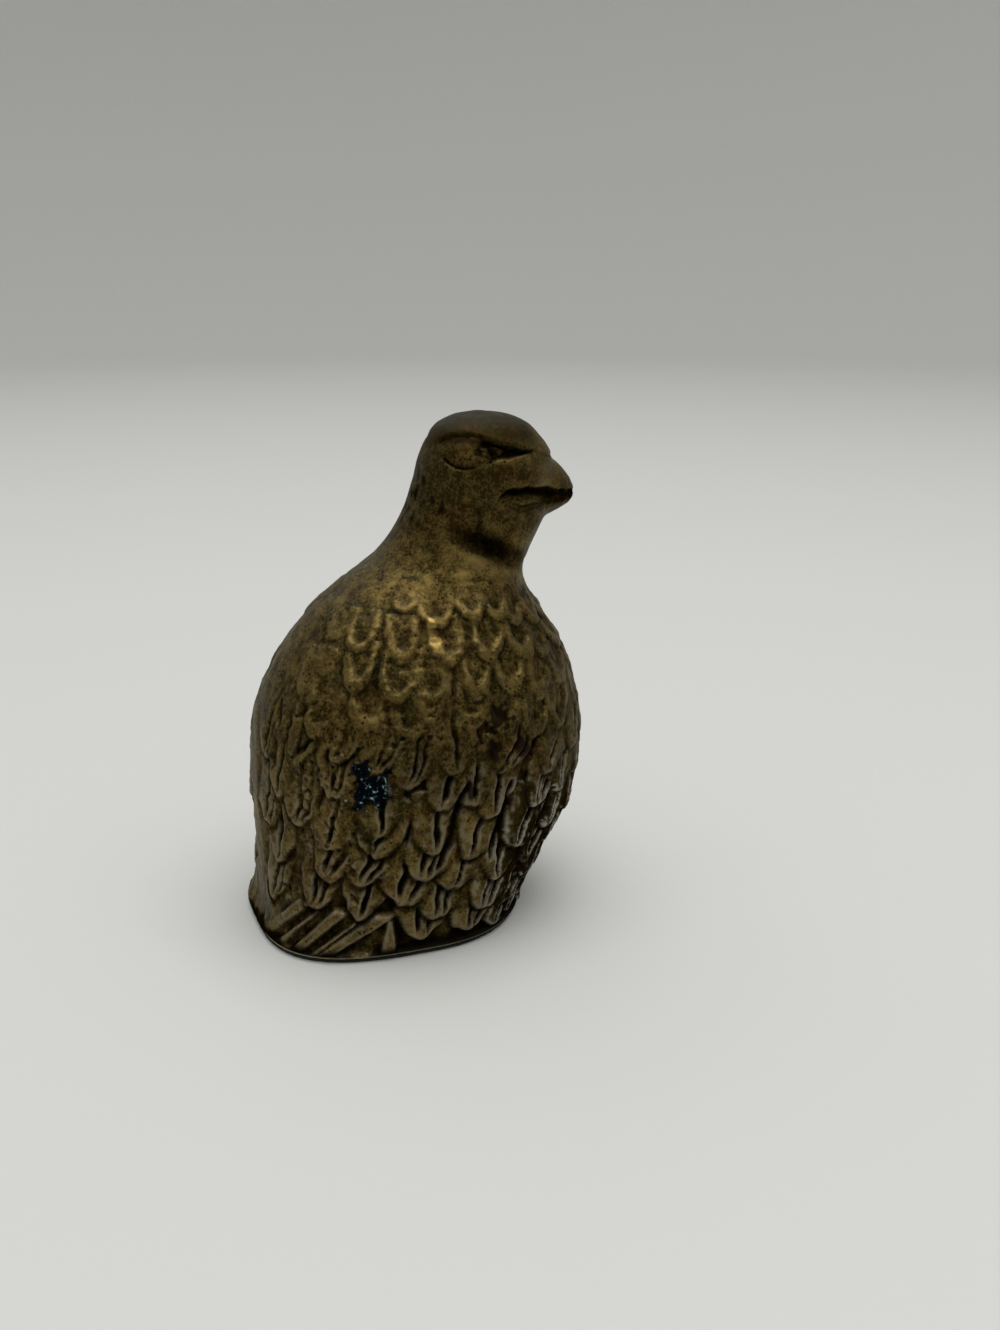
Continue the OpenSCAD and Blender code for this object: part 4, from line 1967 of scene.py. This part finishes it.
@dataclass
class Studio:
    """Pale floor, soft lights and the camera at the photograph's viewing angle."""

    form: FigureForm
    azimuth: float = -106.0
    elevation: float = 27.0
    distance: float = 268.0
    frame_width: int = 1000
    frame_height: int = 1330
    focal_pixels: float = 1400.0
    base_pixel: tuple = (385.0, 899.0)
    sensor: float = 36.0
    nearest: float = 0.01
    floor_radius: float = 1.1
    sweep_radius: float = 0.5
    sweep_steps: int = 16
    floor_sides: int = 96
    floor_colour: tuple = rgba(0.62, 0.62, 0.59)
    floor_roughness: float = 0.75
    air: tuple = rgba(0.98, 0.99, 1.0)
    # Name, place, side and power of each lamp, in metres and watts, and the height that they face
    lamps: tuple = (
        ("key_light", (-0.15, -0.05, 0.95), 1.0, 6.9),
        ("rear_light", (0.6, 0.1, 0.95), 0.9, 1.4),
    )
    lamp_aim: float = 0.045

    def build(self) -> None:
        """Make the floor, the lights, the world and the camera."""
        self._floor()
        self._world()
        for lamp in self.lamps:
            self._softbox(*lamp)
        self._camera()
        bpy.context.scene.view_settings.view_transform = "Standard"

    def _floor(self) -> None:
        """Lay a plain pale floor, swept up all around, that isn't part of the object."""
        net = bmesh.new()
        line = [net.verts.new((0.0, 0.0, 0.0))]
        for turn in np.linspace(0.0, math.pi / 2, self.sweep_steps):
            reach = self.floor_radius + self.sweep_radius * math.sin(turn)
            line.append(net.verts.new((reach, 0.0, self.sweep_radius * (1.0 - math.cos(turn)))))
        edges = [net.edges.new(pair) for pair in zip(line, line[1:])]
        bmesh.ops.spin(net, geom=[*line, *edges], axis=(0, 0, 1), cent=(0, 0, 0),
                       angle=2 * math.pi, steps=self.floor_sides, use_merge=True)
        bmesh.ops.remove_doubles(net, verts=net.verts[:], dist=1e-6)
        mesh = bpy.data.meshes.new("floor")
        finish_net(net, mesh)
        floor = add_object("floor", mesh)
        material, _, shader = new_material("pale_floor")
        shader.inputs["Base Color"].default_value = self.floor_colour
        shader.inputs["Roughness"].default_value = self.floor_roughness
        dress(floor, material)

    def _world(self) -> None:
        """Light the scene softly: brighter from above, from beyond the figure and from its front."""
        world = bpy.data.worlds.new("studio")
        world.use_nodes = True
        bpy.context.scene.world = world
        tree = Tree(world.node_tree)
        way = tree.add("SeparateXYZ", Vector=tree.add("TexCoord").outputs["Generated"])
        x, y, z = (way.outputs[axis] for axis in "XYZ")
        beyond = tree.span(tree.plus(x, tree.times(y, 0.6)), -0.3, 0.9, 0.0, 0.48)
        beside = tree.plus(beyond, tree.span(y, -0.9, -0.1, 0.3, 0.0))
        beside = tree.times(beside, tree.span(z, 0.1, 0.8, 1.0, 0.0))
        soft = tree.plus(tree.span(z, 0.0, 0.9, 0.28, 0.46), beside)
        back = tree.add("Background", Color=self.air, Strength=soft)
        tree.add("OutputWorld", Surface=back.outputs[0])

    def _softbox(self, name: str, place: tuple, size: float, power: float) -> None:
        """Hang a square lamp that faces the figure.

        Args:
            name: The lamp's name.
            place: Where it hangs, in metres.
            size: Its side, in metres.
            power: Its power, in watts.
        """
        light = bpy.data.lights.new(name, "AREA")
        light.shape = "SQUARE"
        light.size = size
        light.energy = power
        lamp = add_object(name, light)
        lamp.location = place
        aim = Vector((0.0, 0.0, self.lamp_aim)) - Vector(place)
        lamp.rotation_euler = aim.to_track_quat("-Z", "Y").to_euler()

    @staticmethod
    def _way(turn: float, rise: float) -> Vector:
        """The direction at an angle round from +X and an angle above the floor."""
        level = math.cos(rise)
        return Vector((math.cos(turn) * level, math.sin(turn) * level, math.sin(rise)))

    def _camera(self) -> None:
        """Stand the camera so that the base's middle falls on its place in the frame."""
        back = self._way(math.radians(self.azimuth - 90.0), math.radians(self.elevation))
        aim = Vector((0.0, self.form.shift, 0.0))
        ray = Vector((
            (self.base_pixel[0] - self.frame_width / 2) / self.focal_pixels,
            (self.frame_height / 2 - self.base_pixel[1]) / self.focal_pixels,
            1.0,
        )).normalized()
        pitch = math.asin(-back.z / math.hypot(ray.y, ray.z)) - math.atan2(ray.y, ray.z)
        level = ray.z * math.cos(pitch) - ray.y * math.sin(pitch)
        ahead = self._way(math.atan2(-back.y, -back.x) + math.atan2(ray.x, level), pitch)
        right = ahead.cross(Vector((0, 0, 1))).normalized()
        data = bpy.data.cameras.new("camera")
        data.sensor_width = self.sensor
        data.lens = self.sensor * self.focal_pixels / self.frame_height
        data.clip_start = self.nearest
        camera = add_object("camera", data)
        turned = Matrix((right, right.cross(ahead), -ahead)).transposed().to_4x4()
        camera.matrix_world = Matrix.Translation((aim + back * self.distance) * MM) @ turned
        bpy.context.scene.camera = camera


def main() -> None:
    """Build the pieces in order and report each one."""
    logging.basicConfig(level=logging.INFO, format="%(name)s: %(message)s")
    form = FigureForm(*node_box("body_casting"))
    effects = SharedEffects()

    casting = QuailCasting(form).build(effects)
    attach(casting, "root")
    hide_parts("body_casting")
    LOG.info("casting: %d vertices, %d faces", len(casting.data.vertices), len(casting.data.polygons))

    base = FeltBase(form)
    felt = base.build(effects)
    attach(felt, "root")
    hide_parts("felt_pad")
    flat, area = base.flat_size()
    LOG.info("felt: %.1f by %.1f mm", flat[0] / MM, flat[1] / MM)

    HiddenPieces().dress(effects)
    Studio(form).build()


if __name__ == "__main__":
    main()
